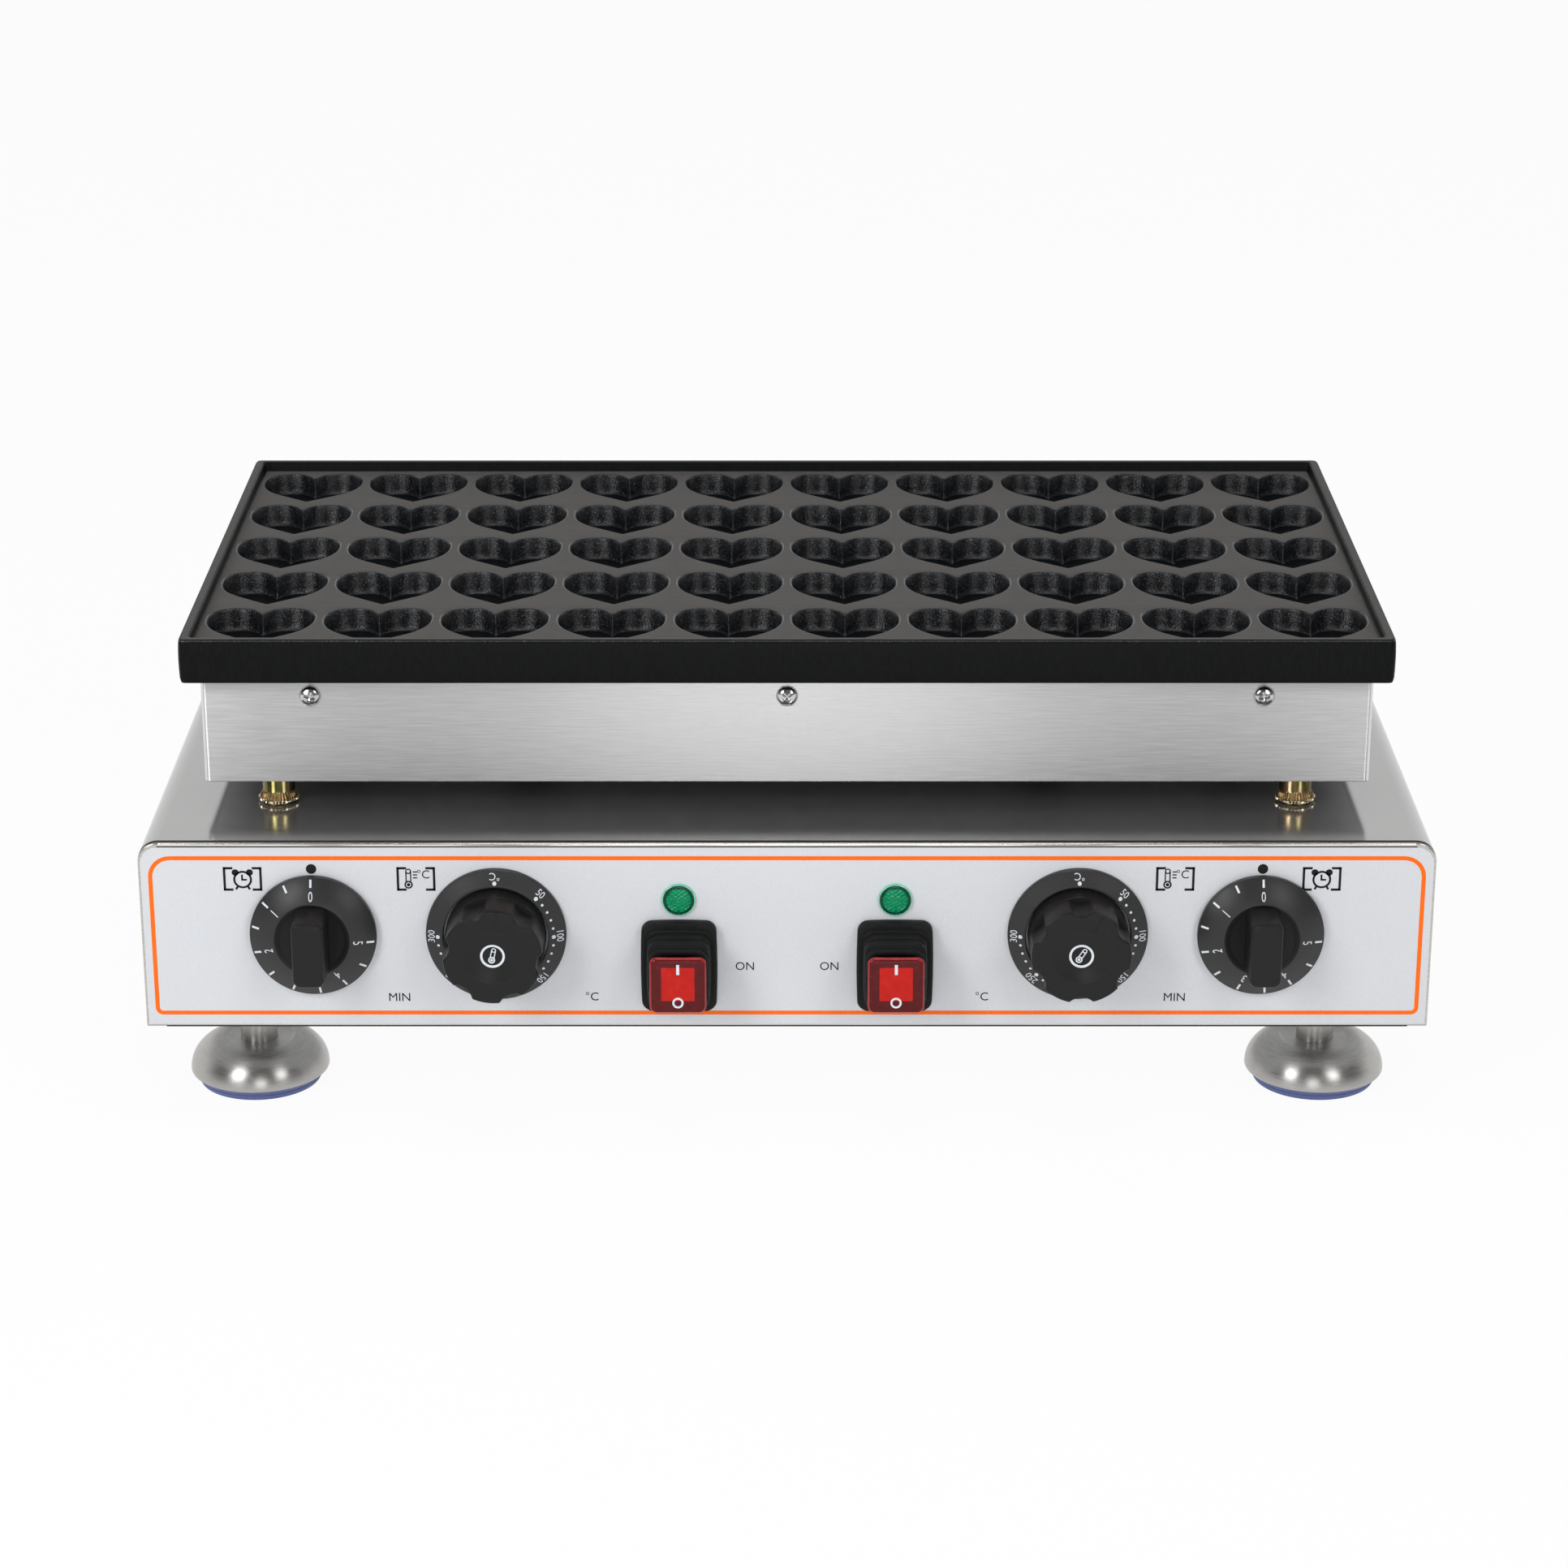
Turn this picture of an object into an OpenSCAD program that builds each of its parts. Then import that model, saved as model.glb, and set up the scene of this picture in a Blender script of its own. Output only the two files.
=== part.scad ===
// Countertop heart waffle baker: an open cast plate with rows of heart wells over a heater box,
// carried by four short pillars on a steel base with two timers, two thermostats, two lamps and
// two covered rocker switches. Millimetres, +Z up, front towards -Y, origin on the floor in the middle.

/* [Baking plate] */
// Hearts across the plate
heart_cols = 10; // [4:1:12]
// Hearts from front to back
heart_rows = 5; // [3:2:7]
// Width of one heart well
heart_w = 49.2; // [40:0.1:56]
// Length of one heart well from lobes to tip
heart_l = 48.8; // [42:0.1:56]
// Metal between neighbouring hearts of a row
web_x = 4.2; // [3:0.05:10]
// Metal between neighbouring rows
web_y = 6.4; // [4:0.1:12]
// Deck between the outer hearts and the side rims
edge_x = 2.2; // [1.5:0.01:12]
// Deck between the outer rows and the front and rear rims
edge_y = 5.8; // [3:0.1:15]
// Width of the raised rim
rim_w = 5.5; // [4:0.1:9]
// Height of the rim above the deck
rim_h = 4.5; // [4.3:0.1:8]
// Depth of the wells below the deck
well_depth = 10; // [7:0.5:14]
// Thickness of the casting under the wells
plate_floor = 6.1; // [4:0.1:10]
// Plan radius of the plate's corners
plate_r = 3; // [2:0.5:12]

/* [Heater box] */
// Overhang of the plate past the heater box at each side
overhang_x = 8.1; // [4:0.1:14]
// Overhang of the plate past the heater box at front and rear
overhang_y = 9.5; // [4:0.5:14]
// Height of the heater box walls
box_h = 50.2; // [42:0.1:70]
// Heater box sheet thickness
box_sheet = 1.5; // [1:0.1:2.5]
// Heater tube diameter
heater_d = 8; // [6:0.5:10]
// Distance between the legs of a heater
heater_pitch = 56; // [44:1:60]
// Insulation blanket thickness
blanket_h = 20; // [10:1:24]
// Box screws along each long side, measured from the middle one
box_screw_pitch = 215; // [150:1:235]
// Head diameter of a box screw
box_screw_head_d = 10; // [7:0.5:12]

/* [Pillars] */
// Height of the pillars between base and heater box
pillar_h = 13; // [8:0.5:30]
// Pillar diameter
pillar_d = 14.6; // [10:0.1:18]
// Pillar collar diameter
collar_d = 18.8; // [15:0.1:22]
// Pillar centre from the heater box's side
pillar_inset_x = 32; // [20:1:50]
// Pillar centre from the heater box's front or rear
pillar_inset_y = 11.5; // [11:0.5:30]

/* [Base] */
// Base edge past the plate at each side
base_margin_x = 17.4; // [8:0.1:40]
// Base edge past the plate at front and rear
base_margin_y = 33.9; // [20:0.5:60]
// Height of the base box
base_h = 89.1; // [86:0.1:110]
// Base sheet thickness
base_sheet = 1.5; // [1:0.1:2.5]
// Outside bend radius along the base's top sides
bend_r = 9; // [5:0.5:14]
// Width of the inward flanges at the bottom
flange_w = 14; // [12:1:22]
// Printed film thickness
film_t = 0.3; // [0.2:0.1:0.6]

/* [Feet] */
// Height of the base above the floor
foot_h = 44.6; // [40:0.1:70]
// Foot centre from the base's side
foot_inset_x = 44.5; // [38:0.5:70]
// Foot centre from the base's front or rear
foot_inset_y = 44; // [40:0.5:80]
// Widest diameter of the bell
bell_d = 64; // [54:1:76]
// Top of the bell above the floor
bell_h = 21; // [18:0.5:30]
// Rubber pad thickness
pad_h = 5.5; // [3:0.5:7]
// Stem diameter
stem_d = 17; // [14:0.5:22]
// Screw thread diameter of a foot
stud_d = 10; // [8:1:12]
// How far a foot can be screwed out
foot_travel = 12; // [6:1:14]

/* [Controls] */
// Height of the dial centres above the base's bottom
dial_z = 45.9; // [42:0.1:50]
// Timer dial from the base's side
timer_inset = 77.5; // [60:0.5:85]
// Timer dial diameter
timer_d = 56.8; // [48:0.1:64]
// Timer grip bar width
grip_w = 14.2; // [10:0.1:18]
// Timer knob length in front of the panel
timer_len = 27.5; // [20:0.5:34]
// Thermostat from the middle of the base
thermo_x = 130.5; // [112:0.5:140]
// Thermostat dial ring diameter
ring_d = 63; // [58:0.5:70]
// Thermostat knob diameter
thermo_d = 45.2; // [36:0.1:50]
// Thermostat knob length in front of the panel
thermo_len = 28.5; // [22:0.5:36]
// Finger scallops around a thermostat knob
scallops = 6; // [4:1:8]
// Pointer of the left thermostat from straight up
left_set = 5; // [0:1:20]
// Pointer of the right thermostat from straight up
right_set = 25; // [0:1:40]
// Control shaft diameter
shaft_d = 6; // [5:0.5:8]
// Lamps and switches from the middle of the base
switch_x = 48.5; // [40:0.5:60]
// Height of the lamps above the base's bottom
lamp_z = 62.2; // [60:0.1:66]
// Lamp rim diameter
lamp_d = 15.2; // [12:0.1:17]
// Height of the switches above the base's bottom
switch_z = 30.9; // [27:0.1:32]
// Switch boot width
boot_w = 34.4; // [31:0.1:38]
// Switch boot height
boot_h = 43.6; // [42:0.1:46]
// Rocker cap width
cap_w = 25.2; // [22:0.1:28]
// Rocker cap height
cap_h = 26.5; // [24:0.1:30]
// Rocker tilt to each side of level
rocker_tilt = 4; // [3:0.5:9]

/* [Supply] */
// Cable hole through the gland
cable_d = 9; // [6:0.5:10]
// Gland from the middle of the base
gland_x = 200; // [120:1:220]
// Height of the gland above the base's bottom
gland_z = 27.4; // [22:0.1:40]

/* [Hidden] */
$fn = 64;

// Sides of the object as signs along X and Y
LEFT = -1;
RIGHT = 1;
FRONT = -1;
REAR = 1;
SIDES = [-1, 1];

// Clearances: running fit per side, gap between pieces, gap around a loose hole
fit = 0.05;
clear = 0.3;
hole_clear = 0.5;

// Plate, from the hearts outwards
pitch_x = heart_w + web_x;
pitch_y = heart_l + web_y;
deck_w = heart_cols * pitch_x - web_x + 2 * edge_x;
deck_d = heart_rows * pitch_y - web_y + 2 * edge_y;
plate_w = deck_w + 2 * rim_w;
plate_d = deck_d + 2 * rim_w;
plate_h = plate_floor + well_depth + rim_h;

// Heart outline: lobe radius, flank radius and level of the widest place as shares of the heart's
// own width and length, and how far the straight sides from the tip cut into the flanks
lobe_share = 0.2546;
flank_share = 0.565;
widest_share = 0.18;
side_bite = 0.1;

// Base and levels
base_w = plate_w + 2 * base_margin_x;
base_d = plate_d + 2 * base_margin_y;
base_top = foot_h + base_h;
box_bottom = base_top + pillar_h;
plate_bottom = box_bottom + box_h;
floor_top = plate_bottom + plate_floor;
front_y = -base_d / 2;
panel_back_y = front_y + base_sheet;
film_y = front_y - film_t;
film_side = 1.2;
film_top = 2;
film_bottom = 1.3;
cover_top = foot_h + base_sheet;
flange_top = cover_top + base_sheet;
cover_screw_d = 4;
cover_head_h = 2.2;
cover_screw_x = (base_w - flange_w) / 2;
COVER_SCREW_XY = [for (x = SIDES, y = [-1 : 1]) [x * cover_screw_x, y * base_d / 4]];

// Heater box
box_w = plate_w - 2 * overhang_x;
box_d = plate_d - 2 * overhang_y;
box_floor_top = box_bottom + box_sheet;
box_screw_drop = 8.8;
box_screw_z = plate_bottom - box_screw_drop;
box_screw_d = 4;
box_screw_l = 9;
box_screw_head_h = 3.2;
BOX_SCREW_X = [for (i = [-1 : 1]) i * box_screw_pitch];
lug_w = 20;
lug_t = 9;
lug_h = 17;
lug_y = box_d / 2 - box_sheet - clear - lug_t / 2;
blanket_gap = 0.5;
blanket_hole_d = 15;

// Pillars, their bolts and the nuts
pillar_x = box_w / 2 - pillar_inset_x;
pillar_y = box_d / 2 - pillar_inset_y;
PILLAR_XY = [for (x = SIDES, y = SIDES) [x * pillar_x, y * pillar_y]];
collar_h = 2;
flare_h = 2.6;
bolt_d = 6;
bolt_head_h = 4;
bolt_tail = 2;
nut_w = 10;
nut_h = 5;

// Feet
foot_x = base_w / 2 - foot_inset_x;
foot_y = base_d / 2 - foot_inset_y;
pad_inset = 1.5;
pad_d = bell_d - 2 * pad_inset;
pad_taper = 2.5;
recess_w = 6.5;
recess_d = stem_d + 2 * recess_w;
recess_h = 0.6;
bell_shoulder = 2;
bell_neck_d = recess_d + 2 * bell_shoulder;
stem_seat = 3;
stem_foot = pad_h + stem_seat;
foot_nut_w = 1.7 * stud_d;
foot_nut_h = 9;
thread_len = foot_travel + base_sheet + foot_nut_h;

// Heaters, clamps, sensors and conduits
heater_x = thermo_x;
heater_legs = 4;
heater_front_inset = 44;
heater_rear_inset = 46;
heater_front = -box_d / 2 + heater_front_inset;
heater_rear = box_d / 2 - heater_rear_inset;
heater_z = plate_bottom - heater_d / 2 - clear;
heater_drop_r = 14;
heater_drop = 2;
clamp_t = 3;
clamp_w = 16;
clamp_past_legs = 12;
clamp_l = (heater_legs - 1) * heater_pitch + 2 * clamp_past_legs;
clamp_front_inset = 20;
clamp_rear_inset = 36;
CLAMP_Y = [heater_front + clamp_front_inset, heater_rear - clamp_rear_inset];
CLAMP_STUD_XY = [for (s = SIDES, t = SIDES, y = CLAMP_Y) [s * heater_x + t * heater_pitch, y]];
clamp_top = heater_z - heater_d / 2 - clear;
sensor_d = 6;
sensor_l = 70;
sensor_gap = 12;
sensor_z = plate_bottom - sensor_d / 2 - clear;
capillary_d = 2.2;
conduit_d = 20;
conduit_wall = 1.5;
conduit_past_clamp = 30;
conduit_y = CLAMP_Y[1] + conduit_past_clamp;
conduit_flange_d = 27;
conduit_below = 8;
conduit_above = 2;

// Timers and thermostats
dial_level = foot_h + dial_z;
timer_x = base_w / 2 - timer_inset;
dial_gap = 0.6;
neck_d = 10;
neck_len = 4;
timer_body_w = 44;
timer_body_l = 34;
timer_rear_y = panel_back_y + timer_body_l;
thermo_body_w = 38;
thermo_body_h = 48;
thermo_body_l = 32;
thermo_rear_y = panel_back_y + thermo_body_l;
shaft_in = 16;
shaft_end = 12;
knob_skirt = 3.1;
knob_rise = 5.2;
hub_d = 33;
hub_step = 0.8;
ring_t = 5;
ring_edge = 2.4;
ring_lip = 1.2;
ring_gap = 1;
dish_r = 36;
dish_h = 2.2;
scallop_r = 8;
scallop_in = 2.7;
scallop_start = 13;
pointer_w = 0.8;
pointer_l = 8;

// Lamps and switches
lamp_level = foot_h + lamp_z;
lamp_rim_t = 1.4;
lamp_rim_w = 1.7;
lamp_dome_d = lamp_d - 2 * lamp_rim_w;
lamp_dome_h = 4.2;
lamp_shoulder = 2.5;
lamp_stem_d = lamp_d - 2 * lamp_shoulder;
lamp_stem_l = 8;
lamp_socket_inset = 0.5;
lamp_socket_d = lamp_d - 2 * lamp_socket_inset;
lamp_socket_l = 24;
switch_level = foot_h + switch_z;
switch_w = 25;
switch_h = 35;
switch_l = 30;
switch_proud = 1;
switch_rear_y = film_y + switch_l;
cheek_t = 2.4;
cheek_h = 9;
pivot_out = 6;
pin_d = 3;
barrel_d = 7;
boot_r = 4.5;
boot_flange = 5;
boot_step = 16;
boot_collar = 19.2;
boot_side = 3.2;
boot_end = 6;
boot_step_w = boot_w - 2 * boot_side;
boot_step_h = boot_h - 2 * boot_end;
collar_side = 0.7;
collar_end = 0.95;
collar_w = cap_w + 2 * collar_side;
collar_len = cap_h + 2 * collar_end;
boot_seat = 2;
boot_seat_gap = 0.7;
boot_seat_h = switch_h + 2 * boot_seat_gap;
boot_cavity = 9.3;
boot_cavity_gap = 0.5;
boot_cavity_w = switch_w + 2 * boot_cavity_gap;
boot_hole_w = 22;
boot_hole_h = 24;
cap_face = 27;
cap_t = 5.6;
cap_r = 4;
rocker_neck_h = 12;

// Supply
gland_wall = 5.5;
gland_thread_d = cable_d + 2 * gland_wall;
gland_thread_l = 10;
gland_shoulder = 2;
gland_hex_w = gland_thread_d + 2 * gland_shoulder;
gland_hex_l = 8;
gland_dome_step = 1;
gland_dome_d = gland_hex_w - 2 * gland_dome_step;
gland_dome_l = 20.8;
gland_nut_t = 6;
block_w = 64;
block_d = 24;
block_h = 20;
block_inset = 90;
block_y = base_d / 2 - block_inset;
wire_d = 3.5;
wire_step = 8;
conduit_step = 5.5;
loom_gap = 30;
loom_y = switch_rear_y + loom_gap;

// Shared shapes

// Rectangle standing on its bottom edge with both top corners rounded
module arched(w, h, r) {
    translate([-w / 2, 0]) square([w, h - r]);
    translate([-w / 2 + r, 0]) square([w - 2 * r, h]);
    for (s = SIDES) translate([s * (w / 2 - r), h - r]) circle(r);
}

// Rectangle centred on the origin with all corners rounded
module rounded(w, h, r) {
    square([w - 2 * r, h], center = true);
    square([w, h - 2 * r], center = true);
    for (x = SIDES, y = SIDES) translate([x * (w / 2 - r), y * (h / 2 - r)]) circle(r);
}

// Stands a flat outline up, extruded from y towards the rear
module upright(y, depth) {
    translate([0, y + depth, 0]) rotate([90, 0, 0]) linear_extrude(depth) children();
}

// Turns a part drawn along +Z so that it points out of the front panel at x, z
module facing(x, y, z) {
    translate([x, y, z]) rotate([90, 0, 0]) children();
}

// Heart outline: two lobe circles over a lens, whose straight sides meet in the tip, lobes towards +Y
module heart() {
    half = heart_w / 2;
    lobe_r = heart_w * lobe_share;
    lobe_y = heart_l / 2 - lobe_r;
    widest = heart_l * widest_share;
    flank_r = heart_w * flank_share;
    to_flank = [half - flank_r, widest + heart_l / 2];
    touch_r = flank_r - side_bite;
    side_l = sqrt(norm(to_flank) ^ 2 - touch_r ^ 2);
    tip_rise = atan2(to_flank.y, to_flank.x) - asin(touch_r / norm(to_flank));
    touch = [side_l * cos(tip_rise), side_l * sin(tip_rise) - heart_l / 2];
    for (s = SIDES) translate([s * (half - lobe_r), lobe_y]) circle(lobe_r);
    intersection() {
        translate([flank_r - half, widest]) circle(flank_r);
        translate([half - flank_r, widest]) circle(flank_r);
        translate([-half, -heart_l / 2]) square([heart_w, lobe_y + heart_l / 2]);
    }
    polygon([[0, -heart_l / 2], touch, [-touch.x, touch.y]]);
}

// Round rod from one point to another
module rod(a, b, d) {
    v = b - a;
    translate(a) rotate([0, acos(v.z / norm(v)), atan2(v.y, v.x)]) cylinder(d = d, h = norm(v));
}

// Bent rod along a list of points, with ball corners
module bent_rod(points, d) {
    for (i = [1 : len(points) - 1]) rod(points[i - 1], points[i], d);
    for (i = [1 : len(points) - 2]) translate(points[i]) sphere(d = d);
}

// Hexagon nut or bolt head
module hexagon(across, h) {
    cylinder(d = across / cos(30), h = h, $fn = 6);
}

// Base

module base_wrap() {
    wall_h = base_top - cover_top;
    inner_w = base_w - 2 * base_sheet;
    color("silver") difference() {
        translate([0, 0, cover_top]) upright(panel_back_y, base_d - 2 * base_sheet) {
            difference() {
                arched(base_w, wall_h, bend_r);
                translate([0, -base_sheet]) arched(inner_w, wall_h, bend_r - base_sheet);
            }
            for (s = SIDES) translate([s * (base_w - flange_w) / 2, base_sheet / 2])
                square([flange_w, base_sheet], center = true);
        }
        for (p = PILLAR_XY) translate([p.x, p.y, base_top - 2 * base_sheet])
            cylinder(d = bolt_d + 2 * hole_clear, h = 3 * base_sheet);
        for (s = SIDES) translate([s * heater_x, conduit_y, base_top - 2 * base_sheet])
            cylinder(d = conduit_d + 2 * clear, h = 3 * base_sheet);
        for (p = COVER_SCREW_XY) translate([p.x, p.y, foot_h])
            cylinder(d = cover_screw_d + 2 * fit, h = 4 * base_sheet);
    }
}

// Outline of a base end panel, lying flat with its bottom edge on the X axis
module end_outline() {
    arched(base_w, base_h, bend_r);
}

// Holes that the controls need, in the end panel's outline
module control_holes(gap) {
    for (s = SIDES) {
        for (x = [timer_x, thermo_x]) translate([s * x, dial_z]) circle(d = neck_d + 2 * gap);
        translate([s * switch_x, lamp_z]) circle(d = lamp_stem_d + 2 * gap);
        translate([s * switch_x, switch_z]) square([switch_w + 2 * gap, switch_h + 2 * gap], center = true);
    }
}

module front_panel() {
    color("gainsboro") translate([0, 0, foot_h]) upright(front_y, base_sheet) difference() {
        end_outline();
        control_holes(hole_clear);
    }
}

module rear_panel() {
    color("gainsboro") translate([0, 0, foot_h]) upright(-panel_back_y, base_sheet) difference() {
        end_outline();
        translate([gland_x, gland_z]) circle(d = gland_thread_d + 2 * clear);
    }
}

module control_film() {
    color("lightsteelblue") translate([0, 0, foot_h + film_bottom]) upright(film_y, film_t) difference() {
        arched(base_w - 2 * film_side, base_h - film_bottom - film_top, bend_r - film_side);
        translate([0, -film_bottom]) control_holes(hole_clear);
    }
}

module bottom_cover() {
    color("darkgray") difference() {
        translate([-base_w / 2, panel_back_y, foot_h]) cube([base_w, base_d - 2 * base_sheet, base_sheet]);
        for (p = COVER_SCREW_XY) translate([p.x, p.y, foot_h - base_sheet])
            cylinder(d = cover_screw_d + 2 * hole_clear, h = 3 * base_sheet);
        for (x = SIDES, y = SIDES) translate([x * foot_x, y * foot_y, foot_h - base_sheet])
            cylinder(d = stud_d + 2 * hole_clear, h = 3 * base_sheet);
    }
}

module bottom_screws() {
    color("lightgray") for (p = COVER_SCREW_XY) translate([p.x, p.y, foot_h]) {
        translate([0, 0, -cover_head_h]) cylinder(d = 2 * cover_screw_d, h = cover_head_h);
        cylinder(d = cover_screw_d, h = flange_top - foot_h + cover_screw_d);
    }
}

// Feet

// Outer curve of the bell from its top edge to its widest edge
function bell_curve(steps = 12) = [for (i = [0 : steps]) [
    bell_neck_d / 2 + (bell_d - bell_neck_d) / 2 * sin(90 * i / steps),
    pad_h + (bell_h - pad_h) * cos(90 * i / steps)
]];

module foot_stem(x, y) {
    color("silver") translate([x * foot_x, y * foot_y, stem_foot]) {
        cylinder(d = stem_d, h = foot_h - clear - stem_foot);
        cylinder(d = stud_d, h = foot_h - clear - stem_foot + thread_len);
    }
}

module foot_bell(x, y) {
    color("silver") translate([x * foot_x, y * foot_y, 0]) difference() {
        rotate_extrude() polygon(concat(
            [[0, pad_h], [0, bell_h - recess_h]],
            [[recess_d / 2, bell_h - recess_h], [recess_d / 2 + recess_h, bell_h]],
            bell_curve()
        ));
        translate([0, 0, stem_foot - clear]) cylinder(d = stem_d + 2 * fit, h = bell_h);
    }
}

module foot_pad(x, y) {
    color("royalblue") translate([x * foot_x, y * foot_y, 0]) rotate_extrude()
        polygon([[0, 0], [pad_d / 2 - pad_taper, 0], [pad_d / 2, pad_h], [0, pad_h]]);
}

module foot_nuts() {
    color("dimgray") for (x = SIDES, y = SIDES) translate([x * foot_x, y * foot_y, cover_top]) difference() {
        hexagon(foot_nut_w, foot_nut_h);
        translate([0, 0, -foot_nut_h / 2]) cylinder(d = stud_d + 2 * fit, h = 2 * foot_nut_h);
    }
}

// Pillars and heater box

module pillars() {
    color("goldenrod") for (p = PILLAR_XY) translate([p.x, p.y, base_top]) rotate_extrude() polygon([
        [bolt_d / 2 + clear, 0], [collar_d / 2, 0], [collar_d / 2, collar_h],
        [pillar_d / 2, collar_h + flare_h], [pillar_d / 2, pillar_h], [bolt_d / 2 + clear, pillar_h]
    ]);
}

module pillar_bolts() {
    bolt_l = base_sheet + pillar_h + box_sheet + nut_h + bolt_tail;
    color("lightgray") for (p = PILLAR_XY) translate([p.x, p.y, base_top - base_sheet]) {
        translate([0, 0, -bolt_head_h]) hexagon(nut_w, bolt_head_h);
        cylinder(d = bolt_d, h = bolt_l);
    }
}

module m6_nuts() {
    places = concat(
        [for (p = PILLAR_XY) [p.x, p.y, box_floor_top]],
        [for (p = CLAMP_STUD_XY) [p.x, p.y, clamp_top - clamp_t - nut_h]]
    );
    color("lightgray") for (p = places) translate(p) difference() {
        hexagon(nut_w, nut_h);
        translate([0, 0, -nut_h / 2]) cylinder(d = bolt_d + 2 * fit, h = 2 * nut_h);
    }
}

module heater_box() {
    color("silver") difference() {
        translate([-box_w / 2, -box_d / 2, box_bottom]) cube([box_w, box_d, box_h]);
        translate([-box_w / 2 + box_sheet, -box_d / 2 + box_sheet, box_bottom - box_h / 2])
            cube([box_w - 2 * box_sheet, box_d - 2 * box_sheet, 2 * box_h]);
        for (x = BOX_SCREW_X, y = SIDES)
            translate([x, y * box_d / 2, box_screw_z]) rotate([90, 0, 0])
                cylinder(d = box_screw_d + 2 * clear, h = 4 * box_sheet, center = true);
    }
}

module heater_box_floor() {
    w = box_w - 2 * (box_sheet + clear);
    d = box_d - 2 * (box_sheet + clear);
    color("darkgray") difference() {
        translate([-w / 2, -d / 2, box_bottom]) cube([w, d, box_sheet]);
        for (p = PILLAR_XY) translate([p.x, p.y, box_bottom - box_sheet])
            cylinder(d = bolt_d + 2 * hole_clear, h = 3 * box_sheet);
        for (s = SIDES) translate([s * heater_x, conduit_y, box_bottom - box_sheet])
            cylinder(d = conduit_d + 2 * clear, h = 3 * box_sheet);
    }
}

module box_screws() {
    color("lightgray") for (x = BOX_SCREW_X, y = SIDES)
        translate([x, y * box_d / 2, box_screw_z]) rotate([y * -90, 0, 0]) {
            cylinder(d = box_screw_head_d, h = box_screw_head_h);
            translate([0, 0, -box_screw_l]) cylinder(d = box_screw_d, h = box_screw_l);
        }
}

module insulation() {
    w = box_w - 2 * (box_sheet + blanket_gap);
    d = box_d - 2 * (box_sheet + blanket_gap);
    color("ivory") difference() {
        translate([-w / 2, -d / 2, box_floor_top]) cube([w, d, blanket_h]);
        for (p = PILLAR_XY) translate([p.x, p.y, box_bottom])
            cylinder(d = blanket_hole_d, h = 2 * blanket_h);
        for (s = SIDES) translate([s * heater_x, conduit_y, box_bottom])
            cylinder(d = conduit_d + 2 * clear, h = 2 * blanket_h);
    }
}

// Baking plate

// Centre of a heart, counting columns from the left and rows from the front
function heart_at(col, row) = [
    (col - (heart_cols - 1) / 2) * pitch_x,
    (row - (heart_rows - 1) / 2) * pitch_y
];

module baking_plate() {
    color("dimgray") {
        difference() {
            translate([0, 0, plate_bottom]) linear_extrude(plate_h) rounded(plate_w, plate_d, plate_r);
            translate([-deck_w / 2, -deck_d / 2, floor_top]) cube([deck_w, deck_d, plate_h]);
        }
        for (x = BOX_SCREW_X, y = SIDES) difference() {
            translate([x, y * lug_y, plate_bottom - lug_h / 2 + plate_floor / 4])
                cube([lug_w, lug_t, lug_h + plate_floor / 2], center = true);
            translate([x, y * lug_y, box_screw_z]) rotate([90, 0, 0])
                cylinder(d = box_screw_d + 2 * fit, h = 2 * lug_t, center = true);
        }
    }
}

// One row of the deck with its heart openings
module heart_row(row) {
    front = row == 0 ? -deck_d / 2 : heart_at(0, row).y - pitch_y / 2;
    rear = row == heart_rows - 1 ? deck_d / 2 : heart_at(0, row).y + pitch_y / 2;
    difference() {
        translate([-deck_w / 2, front, floor_top]) cube([deck_w, rear - front, well_depth]);
        for (col = [0 : heart_cols - 1])
            translate([heart_at(col, row).x, heart_at(col, row).y, floor_top - well_depth])
                linear_extrude(3 * well_depth) heart();
    }
}

module heart_rows_odd() {
    color("gray") for (row = [0 : 2 : heart_rows - 1]) heart_row(row);
}

module heart_rows_even() {
    color("gray") for (row = [1 : 2 : heart_rows - 1]) heart_row(row);
}

// Heaters and sensors

module heater(side) {
    leg_l = heater_rear - heater_front;
    span = (heater_legs - 1) * heater_pitch;
    color("slategray") translate([side * heater_x, 0, heater_z]) {
        for (i = [0 : heater_legs - 1]) translate([i * heater_pitch - span / 2, heater_front, 0])
            rotate([-90, 0, 0]) cylinder(d = heater_d, h = leg_l);
        for (i = [0 : heater_legs - 2])
            translate([(i + 0.5) * heater_pitch - span / 2, i % 2 == 0 ? heater_front : heater_rear, 0])
                rotate([0, 0, i % 2 == 0 ? 180 : 0]) rotate_extrude(angle = 180)
                    translate([heater_pitch / 2, 0]) circle(d = heater_d);
        for (s = SIDES) translate([s * span / 2, heater_rear, -heater_drop_r]) {
            rotate([0, -90, 0]) rotate_extrude(angle = 90) translate([heater_drop_r, 0]) circle(d = heater_d);
            translate([0, heater_drop_r, -heater_drop]) cylinder(d = heater_d, h = heater_drop);
        }
    }
}

module heater_clamps() {
    color("lightgray") difference() {
        for (s = SIDES, y = CLAMP_Y) translate([s * heater_x, y, clamp_top - clamp_t / 2])
            cube([clamp_l, clamp_w, clamp_t], center = true);
        for (p = CLAMP_STUD_XY) translate([p.x, p.y, clamp_top - 2 * clamp_t])
            cylinder(d = bolt_d + 2 * clear, h = 3 * clamp_t);
    }
}

module clamp_studs() {
    stud_l = plate_bottom - clamp_top + clamp_t + nut_h + bolt_tail;
    color("gainsboro") for (p = CLAMP_STUD_XY) translate([p.x, p.y, plate_bottom - stud_l])
        cylinder(d = bolt_d, h = stud_l);
}

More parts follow.
